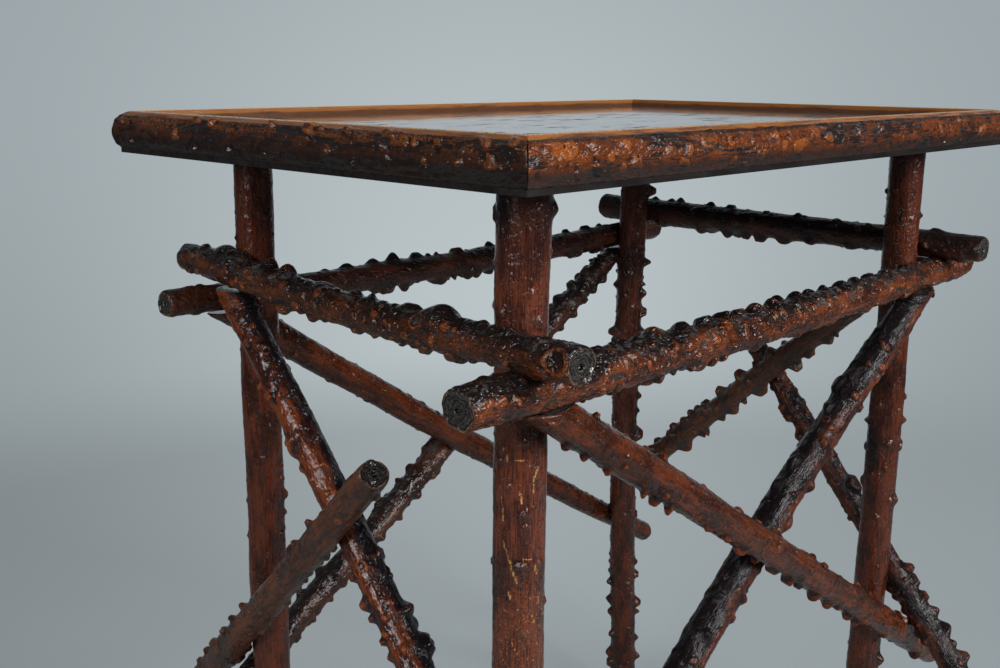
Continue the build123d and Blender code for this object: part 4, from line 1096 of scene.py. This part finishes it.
def grown_bark(name, radius, along, around, steps_mm, frame_across, random):
    """The reach of the bark at each point: the even radius + slow swellings + hills and grit +
    knobs + knots + raised lines, less a little where the ends are rounded off. Also how far each
    point is shifted along by a leaning knob, and masks of worn tops, hollows and bare wood."""
    hill, run = BARK_LOOKS[name][0]
    length, mean_radius = along[-1], radius.mean()
    grid = (len(along), len(around))
    knobs = grown_knobs(name, length, mean_radius, frame_across, random)
    lumps, shift, rubbed = knob_field(along, around, mean_radius, knobs)
    shift *= rise(np.minimum(along, length - along) / 4.0)[:, None]
    slow = 0.022 * mean_radius * cloud(grid, steps_mm, SWELLING, random)
    relief = hill * (cloud(grid, steps_mm, (run, HILL_WIDTH), random)
                     + 0.5 * cloud(grid, steps_mm, GRIT, random))
    small_knots = random.uniform((0.1 * length, *KNOT_FROM), (0.9 * length, *KNOT_TO),
                                 (round(length / KNOT_SPACING), 4))
    knots = (*KNOTS.get(name, ()), *small_knots)
    sunk, lips, pale, bowls = sunk_knots(along, around, mean_radius, knots)
    scratches = scratched(along, around, mean_radius, SCRATCHES.get(name, ()))
    lines = raised_lines(along, around, mean_radius, ARCS.get(name, ()))
    relief = relief * (1 - 0.7 * np.clip(lumps / 2.0, 0, 1)) + lumps + sunk + lines \
        + 0.3 * scratches
    above = relief - blurred(relief, steps_mm, AROUND_HOLLOW)
    round_off = ROUND_OFF * (np.exp(-along / ROUND_OFF_LENGTH)
                             + np.exp(-(length - along) / ROUND_OFF_LENGTH))
    bark = radius[:, None] + slow + relief - 0.5 * hill - round_off[:, None]
    worn = np.clip(0.25 * np.clip(above, 0, 1) + rubbed + lips, 0, 1)
    hollow = np.clip(-above / 0.6, 0, 1) * (1 - 0.6 * bowls)
    return bark, shift, worn, hollow, np.maximum(pale, scratches)


def end_relief(share, random):
    """How far a sawn end stands out at each share of the way to the bark: fine rings
    0.12 cos(34 share), a hollow pith, two ridges, and gouges, none of it over END_PROUD."""
    rings = (0.12 * np.cos(share * 34.0) - 2.2 * bell(share, 0.14)
             + 0.5 * bell(share - 0.25, 0.05) + 0.5 * bell(share - 0.95, 0.05) - 0.6)
    gouges = 0.45 * cloud((len(share), COLUMNS), (1.0, 1.0), (1.0, 1.6), random) * share[:, None]
    return np.minimum(rings[:, None] + gouges, END_PROUD) * (share < 1)[:, None]


def sawn_level(path, length, along, stations, lift, flat_rows):
    """The rows lean over towards the saw's level plane as they near it, and the flat rows lie in
    it. A point that stands `lift` above the middle line meets the plane lift / climb sooner than
    that line does, where climb is the branch's rise for each millimetre along it."""
    end_t, height = path.sawn
    t = np.linspace(end_t - SAW_SEARCH, end_t + SAW_SEARCH, 400)
    heights = path.centre(t)[:, 2]
    order = np.argsort(heights)
    crossing = np.interp(height, heights[order], t[order])
    cut_at = (crossing - path.first) / (path.last - path.first) * length
    ahead = path.centre(crossing + 0.001) - path.centre(crossing - 0.001)
    climb = ahead[2] / np.linalg.norm(ahead)
    shear = -lift / climb
    end_at = length if end_t == 1 else 0.0
    near = rise(1 - np.abs(along - end_at) / SAW_LEAN)[:, None]
    stations = stations + near * (cut_at - end_at + shear)
    stations[flat_rows] = (cut_at + shear)[flat_rows]
    return stations


def with_poles(grid_values, start, end):
    """A value or a vector at each point of a grid, row by row, and then at its two poles."""
    size = np.size(start)
    return np.concatenate((grid_values.reshape(-1, size), np.reshape(start, (1, size)),
                           np.reshape(end, (1, size)))).squeeze()


def branch(name, number):
    """Rows run from the pith of one sawn end out to the bark, along the branch and in to the pith
    of the other end; columns run round it. A point is centre + (level cos a + square sin a) x
    reach, with the reach of the bark, times the row's share in a sawn end."""
    path = PATHS[name]
    _, dark_way, darkness, finish = BARK_LOOKS[name]
    random = np.random.default_rng(BRANCH_SEED + number)
    length = np.linalg.norm(path.centre(path.last) - path.centre(path.first))
    steps = int(length / AXIAL_STEP)
    along = np.linspace(0, length, steps + 1)
    around = np.arange(COLUMNS) * 2 * math.pi / COLUMNS
    radius = path.radius(path.t_at(along, length))
    steps_mm = (along[1], 2 * math.pi * radius.mean() / COLUMNS)
    frame_across = [way[0] for way in path.frames(np.array((0.5,)))]
    bark, shift, worn, hollow, bare = grown_bark(name, radius, along, around, steps_mm,
                                                 frame_across, random)

    share = np.concatenate((END_RINGS, np.ones(steps + 1), END_RINGS[::-1]))
    rows = np.clip(np.arange(len(share)) - len(END_RINGS), 0, steps)
    at_start = np.arange(len(share)) < len(END_RINGS)
    outward = np.where(at_start, -1.0, 1.0)[:, None]
    reach = bark[rows] * share[:, None]
    stations = along[rows][:, None] + end_relief(share, random) * outward \
        + shift[rows] * (share[:, None] == 1)
    level, square = path.frames(path.t_at(along[rows], length))
    if path.sawn:
        top = path.sawn[0] == 1
        flat_rows = (share < 1) & (at_start != top)
        lift = reach * (square[-1 if top else 0][2] * np.sin(around))
        stations = sawn_level(path, length, along[rows], stations, lift, flat_rows)

    out = level[:, None, :] * np.cos(around)[None, :, None] \
        + square[:, None, :] * np.sin(around)[None, :, None]
    points = path.centre(path.t_at(stations, length)) + out * reach[:, :, None]
    points = with_poles(points, points[0].mean(0), points[-1].mean(0)) * MM
    if path.upright:
        points[:, 2] = np.clip(points[:, 2], 0.0, BOARD_UNDERSIDE * MM)

    # Painted shade: the shade mask grows towards dark_way, by darkness, with noise and the darker
    # stretches added.
    dark_way = np.array(dark_way) / np.linalg.norm(dark_way)
    patches = cloud(bark.shape, steps_mm, DARK_PATCH, random)[rows]
    shade = darkness * (0.5 + 0.5 * out @ dark_way) * 1.15 + 0.06 * patches
    for extra in stretches(DARKER_STRETCHES.get(name, ()), stations):
        shade += extra
    bare = bare[rows]
    for grains in stretches(GRAINY.get(name, ()), stations):
        bare = np.maximum(bare, grains)
    shift_on = GRAIN_SHIFT * number
    grain = np.stack((reach * np.cos(around), reach * np.sin(around), stations + shift_on), axis=-1)
    each = np.ones((1, COLUMNS))
    face = (share < 1)[:, None] * each
    attributes = {
        "grain": with_poles(grain, (0, 0, shift_on), (0, 0, shift_on + length)) * MM,
        "knob": with_poles(worn[rows] * (1 - face), 0.0, 0.0),
        "hollow": with_poles(hollow[rows] * (1 - face), 0.0, 0.0),
        "bare": with_poles(bare * (1 - face), 0.0, 0.0),
        "shade": with_poles(shade, 0.5, 0.5),
        "face": with_poles(face, 1.0, 1.0),
        "ring": with_poles(share[:, None] * each, 0.0, 0.0),
    }
    piece = add_piece(f"{name}_bark", points, tube_faces(len(share), COLUMNS), attributes,
                      BARKS[finish])
    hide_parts(name)


for number, name in enumerate(PATHS):
    branch(name, number)


# ---------------------------------------------------------------- rim

RIM_LINE = (0.016, 0.012, 0.012)
# Dark of the hollows between lumps: partly cracks, partly painted shade.
RIM_CRACK_AND_SHADE = (0.010, 0.008, 0.008)
RIM_FLAKE = (0.070, 0.056, 0.054)
RIM_ARRIS = (0.62, 0.36, 0.14)
RIM_BUMP = 0.0008


def rim_material():
    """Split branch: bark outside, a smooth rubbed band along its top, pale at the cut arris, and
    flat sawn wood inside. `drop` is the depth under the top in mm, which a streak makes ragged,
    `inner` marks the flat back, and `shade` is 1 on a warm, lit side and 0 on a cold, shaded one.
    A shaded side is darker, partly its own tone and partly painted shade, and goes black from
    higher up. Towards the underside the bark goes near black: painted shade."""
    material, w, shader = new_finish("rim_bark")
    place = w.attribute("grain", "Vector")
    knob = w.attribute("knob")
    hollow = w.attribute("hollow")
    drop = w.attribute("drop")
    inner = w.attribute("inner")
    warm_and_lit = w.attribute("shade")
    figure = w.group(BARK_FIGURE, {"Place": place})
    patches, grit = figure["Blotch"], figure["Grit"]
    streak, fibre = figure["Streak"], figure["Fibre"]
    ragged = w.product(w.math("SUBTRACT", streak, 0.5), 3.0)
    depth = w.plus(drop, ragged)

    # A less lit side is darker: partly its own tone, partly painted shade.
    cold_and_shaded = w.blend(w.step(depth, 13.0, 6.0), (0.060, 0.019, 0.008), (0.20, 0.064, 0.019))
    light = w.blend(warm_and_lit, cold_and_shaded, (0.21, 0.050, 0.008))
    grain = w.plus(w.product(grit, 0.7), w.product(streak, 0.3))
    deep = w.blend(warm_and_lit, (0.036, 0.014, 0.008), (0.085, 0.022, 0.007))
    light = w.blend(w.step(grain, 0.44, 0.60), deep, light)
    mixed = w.plus(patches, w.product(w.math("SUBTRACT", fibre, 0.5), 0.6))
    colour = w.blend(w.step(mixed, 0.50, 0.62), light, (0.016, 0.010, 0.009))
    flakes = w.noise(w.stretch(place, (1.0, 1.0, 0.5)), 240.0, 5.0, 0.7, 0.5)
    flaked = w.product(w.step(flakes, 0.60, 0.68), w.product(warm_and_lit, 0.6))
    colour = w.blend(flaked, colour, RIM_FLAKE)
    rubbed = w.product(w.step(knob, 0.15, 0.6), w.step(grit, 0.40, 0.58, 0.4, 0.9))
    colour = w.blend(rubbed, colour, w.blend(warm_and_lit, (0.25, 0.068, 0.016), (0.35, 0.094, 0.015)))
    # Hollows between the lumps go dark: partly dark cracks, partly painted shade.
    colour = w.blend(w.product(w.step(hollow, 0.2, 0.8), 0.85), colour, RIM_CRACK_AND_SHADE)
    # Painted shade: the belly goes near black towards the underside, from higher up on a less lit
    # side.
    low = w.step(w.plus(depth, w.product(warm_and_lit, -2.5)), 13.5, 19.5)
    black = w.blend(warm_and_lit, (0.010, 0.007, 0.006), (0.018, 0.013, 0.012))
    colour = w.blend(w.product(low, 0.8), colour, black)

    band = w.step(w.plus(drop, w.product(ragged, 0.4)), 3.3, 2.5)
    wood = w.blend(w.step(streak, 0.40, 0.66), (0.36, 0.120, 0.019), (0.12, 0.038, 0.010))
    wood = w.blend(warm_and_lit, w.blend(0.4, wood, (0.060, 0.022, 0.010)), wood)
    colour = w.blend(band, colour, wood)
    line = w.product(w.step(depth, 2.5, 3.4), w.step(depth, 5.4, 3.8))
    colour = w.blend(w.product(line, w.step(warm_and_lit, 0.0, 1.0, 0.3, 0.8)), colour, RIM_LINE)
    flat_wood = w.blend(w.step(depth, 2.8, 4.6), (0.30, 0.115, 0.030), (0.11, 0.048, 0.025))
    flat_wood = w.blend(w.product(w.step(streak, 0.5, 0.7), 0.5), flat_wood, (0.06, 0.03, 0.02))
    colour = w.blend(inner, colour, flat_wood)
    dots = w.step(w.noise(w.stretch(place, (1.0, 1.0, 0.8)), 620.0, 2.0), 0.38, 0.48)
    arris = w.product(w.step(drop, 0.75, 0.20), w.product(dots, 0.9))
    colour = w.blend(arris, colour, RIM_ARRIS)
    lying = w.group(SETTLED_DUST, {"Hollow": hollow, "Patches": patches,
                                   "Amount": w.step(warm_and_lit, 0.0, 1.0, 0.1, 0.6)})["Dust"]
    w.put(shader["Base Color"], w.blend(lying, colour, DUST_COLOUR))
    varnish = w.step(patches, 0.3, 0.7, 0.16, 0.28)
    w.put(shader["Roughness"], w.plus(varnish, w.product(lying, 0.3)))
    w.put(shader["Coat Weight"], w.step(lying, 0.0, 0.6, 0.12, 0.05))
    shader["Coat Roughness"].default_value = 0.10
    shader["Specular IOR Level"].default_value = 0.32

    relief = w.total((figure["Pimple"], 0.5), (flakes, 0.8), (streak, 0.4), (figure["Facet"], 2.0))
    relief = w.product(relief, w.step(drop, 14.0, 21.0, 1.0, 0.6))
    relief = w.product(relief, w.step(warm_and_lit, 0.0, 0.5, 0.8, 1.0))
    relief = w.between(w.larger(band, inner), relief, w.product(fibre, 0.25))
    w.put(shader["Normal"], w.bump(relief, RIM_BUMP))
    return material


# Each side: quarter turns from the front, its length, how far its back is from the middle, and
# how warm and lit it is; a less lit side gets painted shade.
RIM_SIDES = {
    "front": (0, 2 * HALF_LENGTH, HALF_DEPTH, 1.0), "right": (1, 2 * HALF_DEPTH, HALF_LENGTH, 0.5),
    "back": (2, 2 * HALF_LENGTH, HALF_DEPTH, 0.6), "left": (3, 2 * HALF_DEPTH, HALF_LENGTH, 0.0),
}
RIM_SEED = 40
# Millimetres from row to row on the half ellipse and from column to column, and rows on the half
# ellipse, the underside and the back.
RIM_STEPS = (0.9, 1.3)
CURVE_ROWS = 44
FLAT_ROWS = 6
BACK_ROWS = 13
# How high the rim's bark is and how long round the section and along the side: grit, swellings,
# and knobbly hills, which a cold, less lit side has. Flakes are FLAKE_HEIGHT high.
RIM_GRIT = (0.22, (1.1, 1.3))
RIM_SWELLING = (0.5, (6.0, 26.0))
RIM_HILLS = (0.7, (3.0, 9.0))
FLAKE_HEIGHT = 0.30
FLAKE = (2.2, 4.5)
AROUND_CRACK = (2.4, 2.4)
# Distances from the arris: how far it stays smooth and over how much the bark, the lumps and the
# rubbed tops then grow.
BARK_FROM = (6.4, 3.0)
LUMPS_FROM = (2.0, 3.5)
RUBBED_FROM = (3.0, 2.0)
# How far the grain shifts from one side to the next, and the radius it is wrapped round.
RIM_GRAIN_SHIFT = 2000.0
RIM_GRAIN_RADIUS = 16.0
# How many low scars each side grows at random.
RIM_SPOTS = {"front": 34, "right": 34, "back": 46, "left": 16}
# The lumps and scars of the rim that show most: place along the side from its left end seen from
# outside, depth under the top, height, half width, and how far it is rubbed.
RIM_LUMPS = {
    "left": (
        (105, 3.4, 3.7, 4.1, 0.8), (125, 4.5, 3.2, 4.0, 0.9), (190, 2.8, 3.7, 3.7, 0.7),
        (228, 3.5, 4.1, 5.3, 0.8), (239, 3.5, 2.7, 2.6, 0.8), (263, 3.2, 2.7, 3.4, 0.5),
        (298, 4, 3.2, 3.3, 0.5), (319, 7.4, 1.6, 2.6, 0.7), (373, 4.9, 2.2, 3.7, 0.9),
        (393, 3.8, 2.4, 3.5, 0.9), (87, 13.7, 2.9, 4.3, 0.9), (205, 9.4, 3.2, 5.3, 0.2),
        (247, 14.5, 3.5, 4.8, 0.4), (295, 10.6, 2.6, 3.2, 0.4), (329, 16.9, 2.6, 2.5, 0.9),
        (355, 16.1, 2.6, 2.4, 0.9), (298, 16.7, 2.3, 2.6, 0.3), (61, 14.2, 2.3, 3.4, 0.1),
        (183, 11.3, 2.3, 3.6, 0.3), (28, 21.9, 3.5, 5.4, 0), (108, 21.6, 2.6, 4.1, 0),
        (145, 21.5, 2.6, 3.9, 0), (172, 22.5, 2.9, 3.8, 0), (269, 22.1, 3.2, 3.4, 0.1),
        (330, 22.5, 3.5, 4.4, 0.1), (12, 8, 2.0, 4.3, 0.2)),
    "front": (
        (20, 7.8, 0.8, 4.6, 1.0), (76, 7.8, 0.8, 2.8, 1.0), (111, 7.3, 1.0, 2.3, 1.0),
        (64, 12.7, 0.8, 3.8, 0.8), (73, 20.2, 0.7, 2.8, 1.0), (127, 19.7, 1.2, 4.7, 0.7),
        (179, 22.6, 1.4, 4.4, 0.7), (191, 24.0, 2.6, 2.6, 0.2), (227, 8.2, 1.0, 3.3, 1.0),
        (212, 19.2, 1.4, 3.9, 0.6), (294, 12.2, 1.0, 3.6, 1.0), (341, 18.7, 1.4, 4.6, 0.3),
        (373, 9.4, 1.4, 4.7, 0.1), (469, 11.4, 1.6, 5.2, 0.4), (507, 7.3, 1.6, 4.5, 0.2),
        (549, 15.9, 1.6, 5.7, 0.8), (429, 10.1, 1.8, 4.2, 0.1), (53, 19.8, 1.6, 4.3, 0.0),
        (37, 20.6, 1.6, 2.1, 0.0), (38, 23.0, 2.0, 2.6, 0.0), (205, 18.9, 1.2, 3.3, 0.5),
        (163, 8.1, 1.2, 2.5, 0.0), (480, 24.0, 2.8, 3.5, 0.0), (514, 24.0, 2.6, 2.7, 0.0),
        (407, 10.6, 1.4, 4.1, 0.0), (119, 22.0, 1.4, 3.5, 0.1)),
}


def rim_section():
    """The outline, from the top arris out and down the half ellipse (reach x cos a,
    belly + drop x sin a), in along the flat underside and up the flat back: reach from the back,
    height, way out of the half ellipse (0 off it), and distance round from the arris."""
    low_angle = math.asin((RIM_UNDERSIDE - BELLY_HEIGHT) / RIM_BELLY_DROP)
    angle = np.linspace(math.pi / 2, low_angle, CURVE_ROWS)
    flat = np.linspace(RIM_REACH * math.cos(low_angle), 0, FLAT_ROWS + 1)[1:]
    up = np.linspace(RIM_UNDERSIDE, TABLE_HEIGHT, BACK_ROWS + 2)[1:-1]
    reach = np.concatenate((RIM_REACH * np.cos(angle), flat, np.zeros(BACK_ROWS)))
    height = np.concatenate((BELLY_HEIGHT + RIM_BELLY_DROP * np.sin(angle),
                             np.full(FLAT_ROWS, RIM_UNDERSIDE), up))
    way = np.zeros((2, len(reach)))
    way[:, :CURVE_ROWS] = np.cos(angle) / RIM_REACH, np.sin(angle) / RIM_BELLY_DROP
    way /= np.maximum(np.hypot(*way), 1e-9)
    girth = np.concatenate(([0], np.cumsum(np.hypot(np.diff(reach), np.diff(height)))))
    return reach, height, way, girth


def rim_scars(side, run, height, girth, random):
    """Low scars thrown along the side, then the lumps and scars of its table, as rows of place,
    distance round the section, rubbed, and the six values of a knob's shape."""
    count = RIM_SPOTS[side]
    scars = np.column_stack((
        (np.arange(count) + random.uniform(0.0, 1.0, count)) * run / count,
        random.uniform(9.0, 30.0, count), np.clip(random.uniform(-0.8, 1.0, count), 0, 1),
        random.uniform(0.5, 1.8, count), random.uniform(2.6, 6.6, count),
        random.uniform(-0.3, 0.3, count), random.uniform(0.2, 0.75, count),
        random.uniform(0.8, 1.6, count), random.uniform(0, 6.3, count)))
    if side not in RIM_LUMPS:
        return scars
    place, drop, tall, wide, bare = np.array(RIM_LUMPS[side]).T
    at = np.interp(drop, (TABLE_HEIGHT - height)[:CURVE_ROWS], girth[:CURVE_ROWS])
    lean, flatness, oblong, phase = random.uniform(0, 1, (4, len(place)))
    flat = np.where((bare > 0.9) & (tall < 1.5), 0.6, 0.3 * flatness)
    lumps = np.stack((place, at, bare, tall, wide, 0.6 * lean - 0.3, flat, 1.0 + 0.4 * oblong,
                      6.3 * phase), axis=1)
    return np.concatenate((scars, lumps))


def rim_side(side):
    """Rows run round the section and columns along the side, each stretched by its reach so that
    the ends are mitred. The half ellipse swells outward by lumps + bark, except near the arris and
    the underside."""
    turn, run, back, warm_and_lit = RIM_SIDES[side]
    random = np.random.default_rng(RIM_SEED + turn)
    reach, height, way, girth = rim_section()
    rows, columns = len(reach), int(run / RIM_STEPS[1]) + 1
    along = np.linspace(0, run, columns)
    lumps, rubbed = np.zeros((2, rows, columns))
    for place, at, bare, *knob in rim_scars(side, run, height, girth, random):
        bump = knob_shape((along - place)[None, :], (girth - at)[:, None], knob)
        higher = bump > lumps
        level = bump / knob[0]
        worn = 0.4 * np.minimum(1.5 * level, 1) + bell(level - 0.45, 0.22)
        lumps = np.where(higher, bump, lumps)
        rubbed = np.where(higher, bare * np.clip(worn, 0, 1), rubbed)
    steps_mm = (RIM_STEPS[0], along[1])
    bark = FLAKE_HEIGHT * np.tanh(2.0 * cloud(lumps.shape, steps_mm, FLAKE, random))
    for (size, widths), share in ((RIM_GRIT, 1), (RIM_SWELLING, 1), (RIM_HILLS, 1 - warm_and_lit)):
        bark = bark + size * share * cloud(lumps.shape, steps_mm, widths, random)
    relief = lumps + bark
    hollow = np.clip(-(relief - blurred(relief, steps_mm, AROUND_CRACK)) / 0.5, 0, 1)
    on_curve = np.arange(rows) < CURVE_ROWS
    under = (rise((girth[CURVE_ROWS - 1] - 0.8 - girth) / 4.0) * on_curve)[:, None]
    edge, lump_edge, rubbed_edge = (rise((girth[:, None] - start) / over) * under
                                    for start, over in (BARK_FROM, LUMPS_FROM, RUBBED_FROM))
    swell = bark * edge + lumps * lump_edge
    outward = reach[:, None] + way[0][:, None] * swell
    upward = np.minimum(height[:, None] + way[1][:, None] * swell, TABLE_HEIGHT)
    x = (along[None, :] / run - 0.5) * (run + 2 * reach[:, None])
    points = np.stack((x, -back - outward, upward), axis=-1)
    for _ in range(turn):
        points = np.stack((-points[..., 1], points[..., 0], points[..., 2]), axis=-1)

    low = (np.arange(rows) * columns)[:, None]
    high = np.roll(low, -1)
    first = np.arange(columns - 1)
    quads = np.stack([low + first, high + first, high + first + 1, low + first + 1],
                     axis=-1).reshape(-1, 4)
    caps = [low[::-1].T, (low + columns - 1).T]
    inner = (np.arange(rows) >= CURVE_ROWS + FLAT_ROWS) | (np.arange(rows) == 0)
    each = np.ones((rows, columns))
    round_grain = girth[:, None] / RIM_GRAIN_RADIUS * each
    grain = np.stack((np.sin(round_grain) * RIM_GRAIN_RADIUS,
                      np.cos(round_grain) * RIM_GRAIN_RADIUS,
                      (along + RIM_GRAIN_SHIFT * (turn + 20)) * each), axis=-1)
    attributes = {
        "grain": grain.reshape(-1, 3) * MM,
        "knob": (rubbed * rubbed_edge).ravel(),
        "hollow": (hollow * edge).ravel(),
        "drop": ((TABLE_HEIGHT - height)[:, None] * each).ravel(),
        "inner": (inner[:, None] * each).ravel(),
        "shade": np.full(rows * columns, warm_and_lit),
    }
    piece = add_piece(f"rim_{side}_bark", points.reshape(-1, 3) * MM, [quads, *caps], attributes,
                      RIM_BARK)
    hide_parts(f"rim_{side}")


RIM_BARK = rim_material()
for side in RIM_SIDES:
    rim_side(side)


# ---------------------------------------------------------------- panel, board, nails

def panel_material():
    """Dark grained board under a deep varnish, which is sunk and dull in the pores."""
    material, w, shader = new_finish("panel_varnish")
    figure = w.group(BOARD_FIGURE, {"Place": w.object_place()})
    pore = figure["Pore"]
    colour = w.blend(w.step(figure["Figure"], 0.35, 0.65), (0.030, 0.016, 0.011),
                     (0.095, 0.045, 0.024))
    w.put(shader["Base Color"], w.blend(pore, colour, (0.008, 0.006, 0.006)))
    polish = w.step(figure["Scuff"], 0.35, 0.7, 0.12, 0.24)
    w.put(shader["Roughness"], w.plus(polish, w.product(pore, 0.7)))
    w.put(shader["Coat Weight"], w.step(pore, 0.0, 0.4, 1.0, 0.0))
    shader["Coat Roughness"].default_value = 0.06
    height = w.math("SUBTRACT", w.product(figure["Figure"], 0.04), pore)
    w.put(shader["Normal"], w.bump(height, 0.0009))
    return material


def board_material():
    """Nearly black, a little paler in the grain and where it is scuffed."""
    material, w, shader = new_finish("board_near_black")
    figure = w.group(BOARD_FIGURE, {"Place": w.object_place()})
    scuff = figure["Scuff"]
    colour = w.blend(w.step(figure["Figure"], 0.35, 0.65), (0.010, 0.009, 0.009),
                     (0.020, 0.016, 0.015))
    rubbed = w.product(w.step(scuff, 0.5, 0.7), 0.3)
    w.put(shader["Base Color"], w.blend(rubbed, colour, (0.030, 0.030, 0.032)))
    w.put(shader["Roughness"], w.step(scuff, 0.3, 0.7, 0.3, 0.5))
    shader["Specular IOR Level"].default_value = 0.15
    w.put(shader["Normal"], w.bump(figure["Figure"], 0.0004, 0.6))
    return material


def iron_material():
    """Blackened iron with brown rust in spots, which is rougher and no longer metal."""
    material, w, shader = new_finish("black_iron")
    rust = w.noise(w.object_place(), 900.0, 3.0)
    w.put(shader["Base Color"], w.blend(w.step(rust, 0.45, 0.65), (0.035, 0.030, 0.028),
                                        (0.085, 0.035, 0.018)))
    w.put(shader["Roughness"], w.step(rust, 0.4, 0.7, 0.35, 0.7))
    w.put(shader["Metallic"], w.step(rust, 0.45, 0.65, 0.9, 0.2))
    return material


def dress(node_names, material):
    """Gives CAD nodes that stay as they are a material."""
    for node_name in node_names:
        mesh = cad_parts[node_name].data
        mesh.materials.clear()
        mesh.materials.append(material)


dress(["top_panel"], panel_material())
dress(["base_board"], board_material())
dress(["stretcher_nails", "brace_nails", "rim_brads", "leg_screws"], iron_material())


# ---------------------------------------------------------------- floor, backdrop, lamps

BACKDROP_BRIGHT = (0.49, 0.55, 0.57)
BACKDROP_EDGE = (0.315, 0.362, 0.382)
BACKDROP_LOW = (0.200, 0.232, 0.243)
# A pool of brightness lies in this way from the camera, at a height and a tightness of its own
# where it is seen and where it is mirrored.
BEYOND_TABLE = (0.719, 0.695)
SEEN_POOL = (-0.20, 18.0)
MIRRORED_POOL = (0.05, 6.0)
REFLECTED_BRIGHT = (0.42, 0.47, 0.50)
REFLECTED_EDGE = (0.030, 0.034, 0.038)
WORLD_LIGHT = (0.66, 0.66, 0.67)
WORLD_STRENGTH = 0.36
FLOOR_SEEN = (0.50, 0.56, 0.585)
FLOOR_COLOUR = (0.26, 0.30, 0.31)
FLOOR_SHEER = 0.5
FLOOR_RADIUS = 4.0
FLOOR_RINGS = 32
FLOOR_COLUMNS = 96
# Distances from the table's middle between which the floor thins out.
FLOOR_THINS = (0.55, 2.1)


def make_floor():
    """A disc that thins out to nothing towards its edge, so that it runs into the backdrop."""
    rings = np.linspace(0.0, FLOOR_RADIUS, FLOOR_RINGS + 1)[1:, None]
    first = np.arange(FLOOR_COLUMNS)
    around = first * 2 * math.pi / FLOOR_COLUMNS
    points = np.stack((rings * np.cos(around), rings * np.sin(around),
                       np.zeros((FLOOR_RINGS, FLOOR_COLUMNS))), axis=-1)
    points = np.concatenate((points.reshape(-1, 3), [[0.0, 0.0, 0.0]]))
    quads = ring_quads(FLOOR_RINGS, FLOOR_COLUMNS)[:, ::-1]
    middle = fan(len(points) - 1, first, np.roll(first, -1))

    material, w = new_material("studio_floor")
    distance = w.node("ShaderNodeVectorMath", {0: w.object_place()},
                      operation="LENGTH").outputs["Value"]
    direct = w.node("ShaderNodeLightPath").outputs["Is Camera Ray"]
    colour = w.blend(direct, FLOOR_COLOUR, FLOOR_SEEN)
    plain = w.node("ShaderNodeBsdfDiffuse", {"Color": colour}).outputs[0]
    clear = w.node("ShaderNodeBsdfTransparent").outputs[0]
    thin = w.larger(w.step(distance, *FLOOR_THINS), w.product(direct, FLOOR_SHEER))
    mixed = w.node("ShaderNodeMixShader", {0: thin, 1: plain, 2: clear}).outputs[0]
    w.node("ShaderNodeOutputMaterial", {"Surface": mixed})
    floor = mesh_object("studio_floor", points, [quads, middle], material)


def make_world():
    """Seen directly, the backdrop is brightest beyond the table, exp(18 (cos - 1)) of the angle
    from there, and falls off all round. Reflections see it so too, wider and a little higher up,
    with darkness behind the camera. As a light it is an even pale grey."""
    world = bpy.data.worlds.new("studio")
    scene.world = world
    world.use_nodes = True
    world.node_tree.nodes.clear()
    w = Wiring(world.node_tree)
    way = w.node("ShaderNodeTexCoord").outputs["Generated"]

    def pool(height, tightness):
        beyond = np.array((*BEYOND_TABLE, height))
        toward = w.node("ShaderNodeVectorMath", {0: way, 1: tuple(beyond / np.linalg.norm(beyond))},
                        operation="DOT_PRODUCT").outputs["Value"]
        return w.math("EXPONENT", w.product(w.math("SUBTRACT", toward, 1.0), tightness))

    def background(colour, strength=1.0):
        return w.node("ShaderNodeBackground", {"Color": colour, "Strength": strength}).outputs[0]

    around = w.blend(w.step(w.upward(way), -0.5, 0.0), BACKDROP_LOW, BACKDROP_EDGE)
    seen = background(w.blend(pool(*SEEN_POOL), around, BACKDROP_BRIGHT))
    mirrored = background(w.blend(pool(*MIRRORED_POOL), REFLECTED_EDGE, REFLECTED_BRIGHT))
    mixed = background(WORLD_LIGHT, WORLD_STRENGTH)
    rays = w.node("ShaderNodeLightPath").outputs
    for ray, shown in (("Is Glossy Ray", mirrored), ("Is Camera Ray", seen)):
        mixed = w.node("ShaderNodeMixShader", {0: rays[ray], 1: mixed, 2: shown}).outputs[0]
    w.node("ShaderNodeOutputWorld", {"Surface": mixed})


def make_lamp(name, place, aim, size, power):
    """A rectangle of light that faces a point."""
    data = bpy.data.lights.new(name, "AREA")
    data.shape = "RECTANGLE"
    data.size, data.size_y = size
    data.energy = power
    back = np.array(place, float) - np.array(aim, float)
    back /= np.linalg.norm(back)
    side = np.cross(UP, back)
    side /= np.linalg.norm(side)
    set_up(bpy.data.objects.new(name, data), side, np.cross(back, side), back, place)


make_floor()
make_world()
make_lamp("key_softbox", (0.30, -2.2, 1.55), (0.0, 0.0, 0.5), (1.4, 0.8), 58.0)
make_lamp("fill_softbox", (-2.2, -0.2, 1.3), (0.0, 0.0, 0.45), (0.9, 0.7), 20.0)
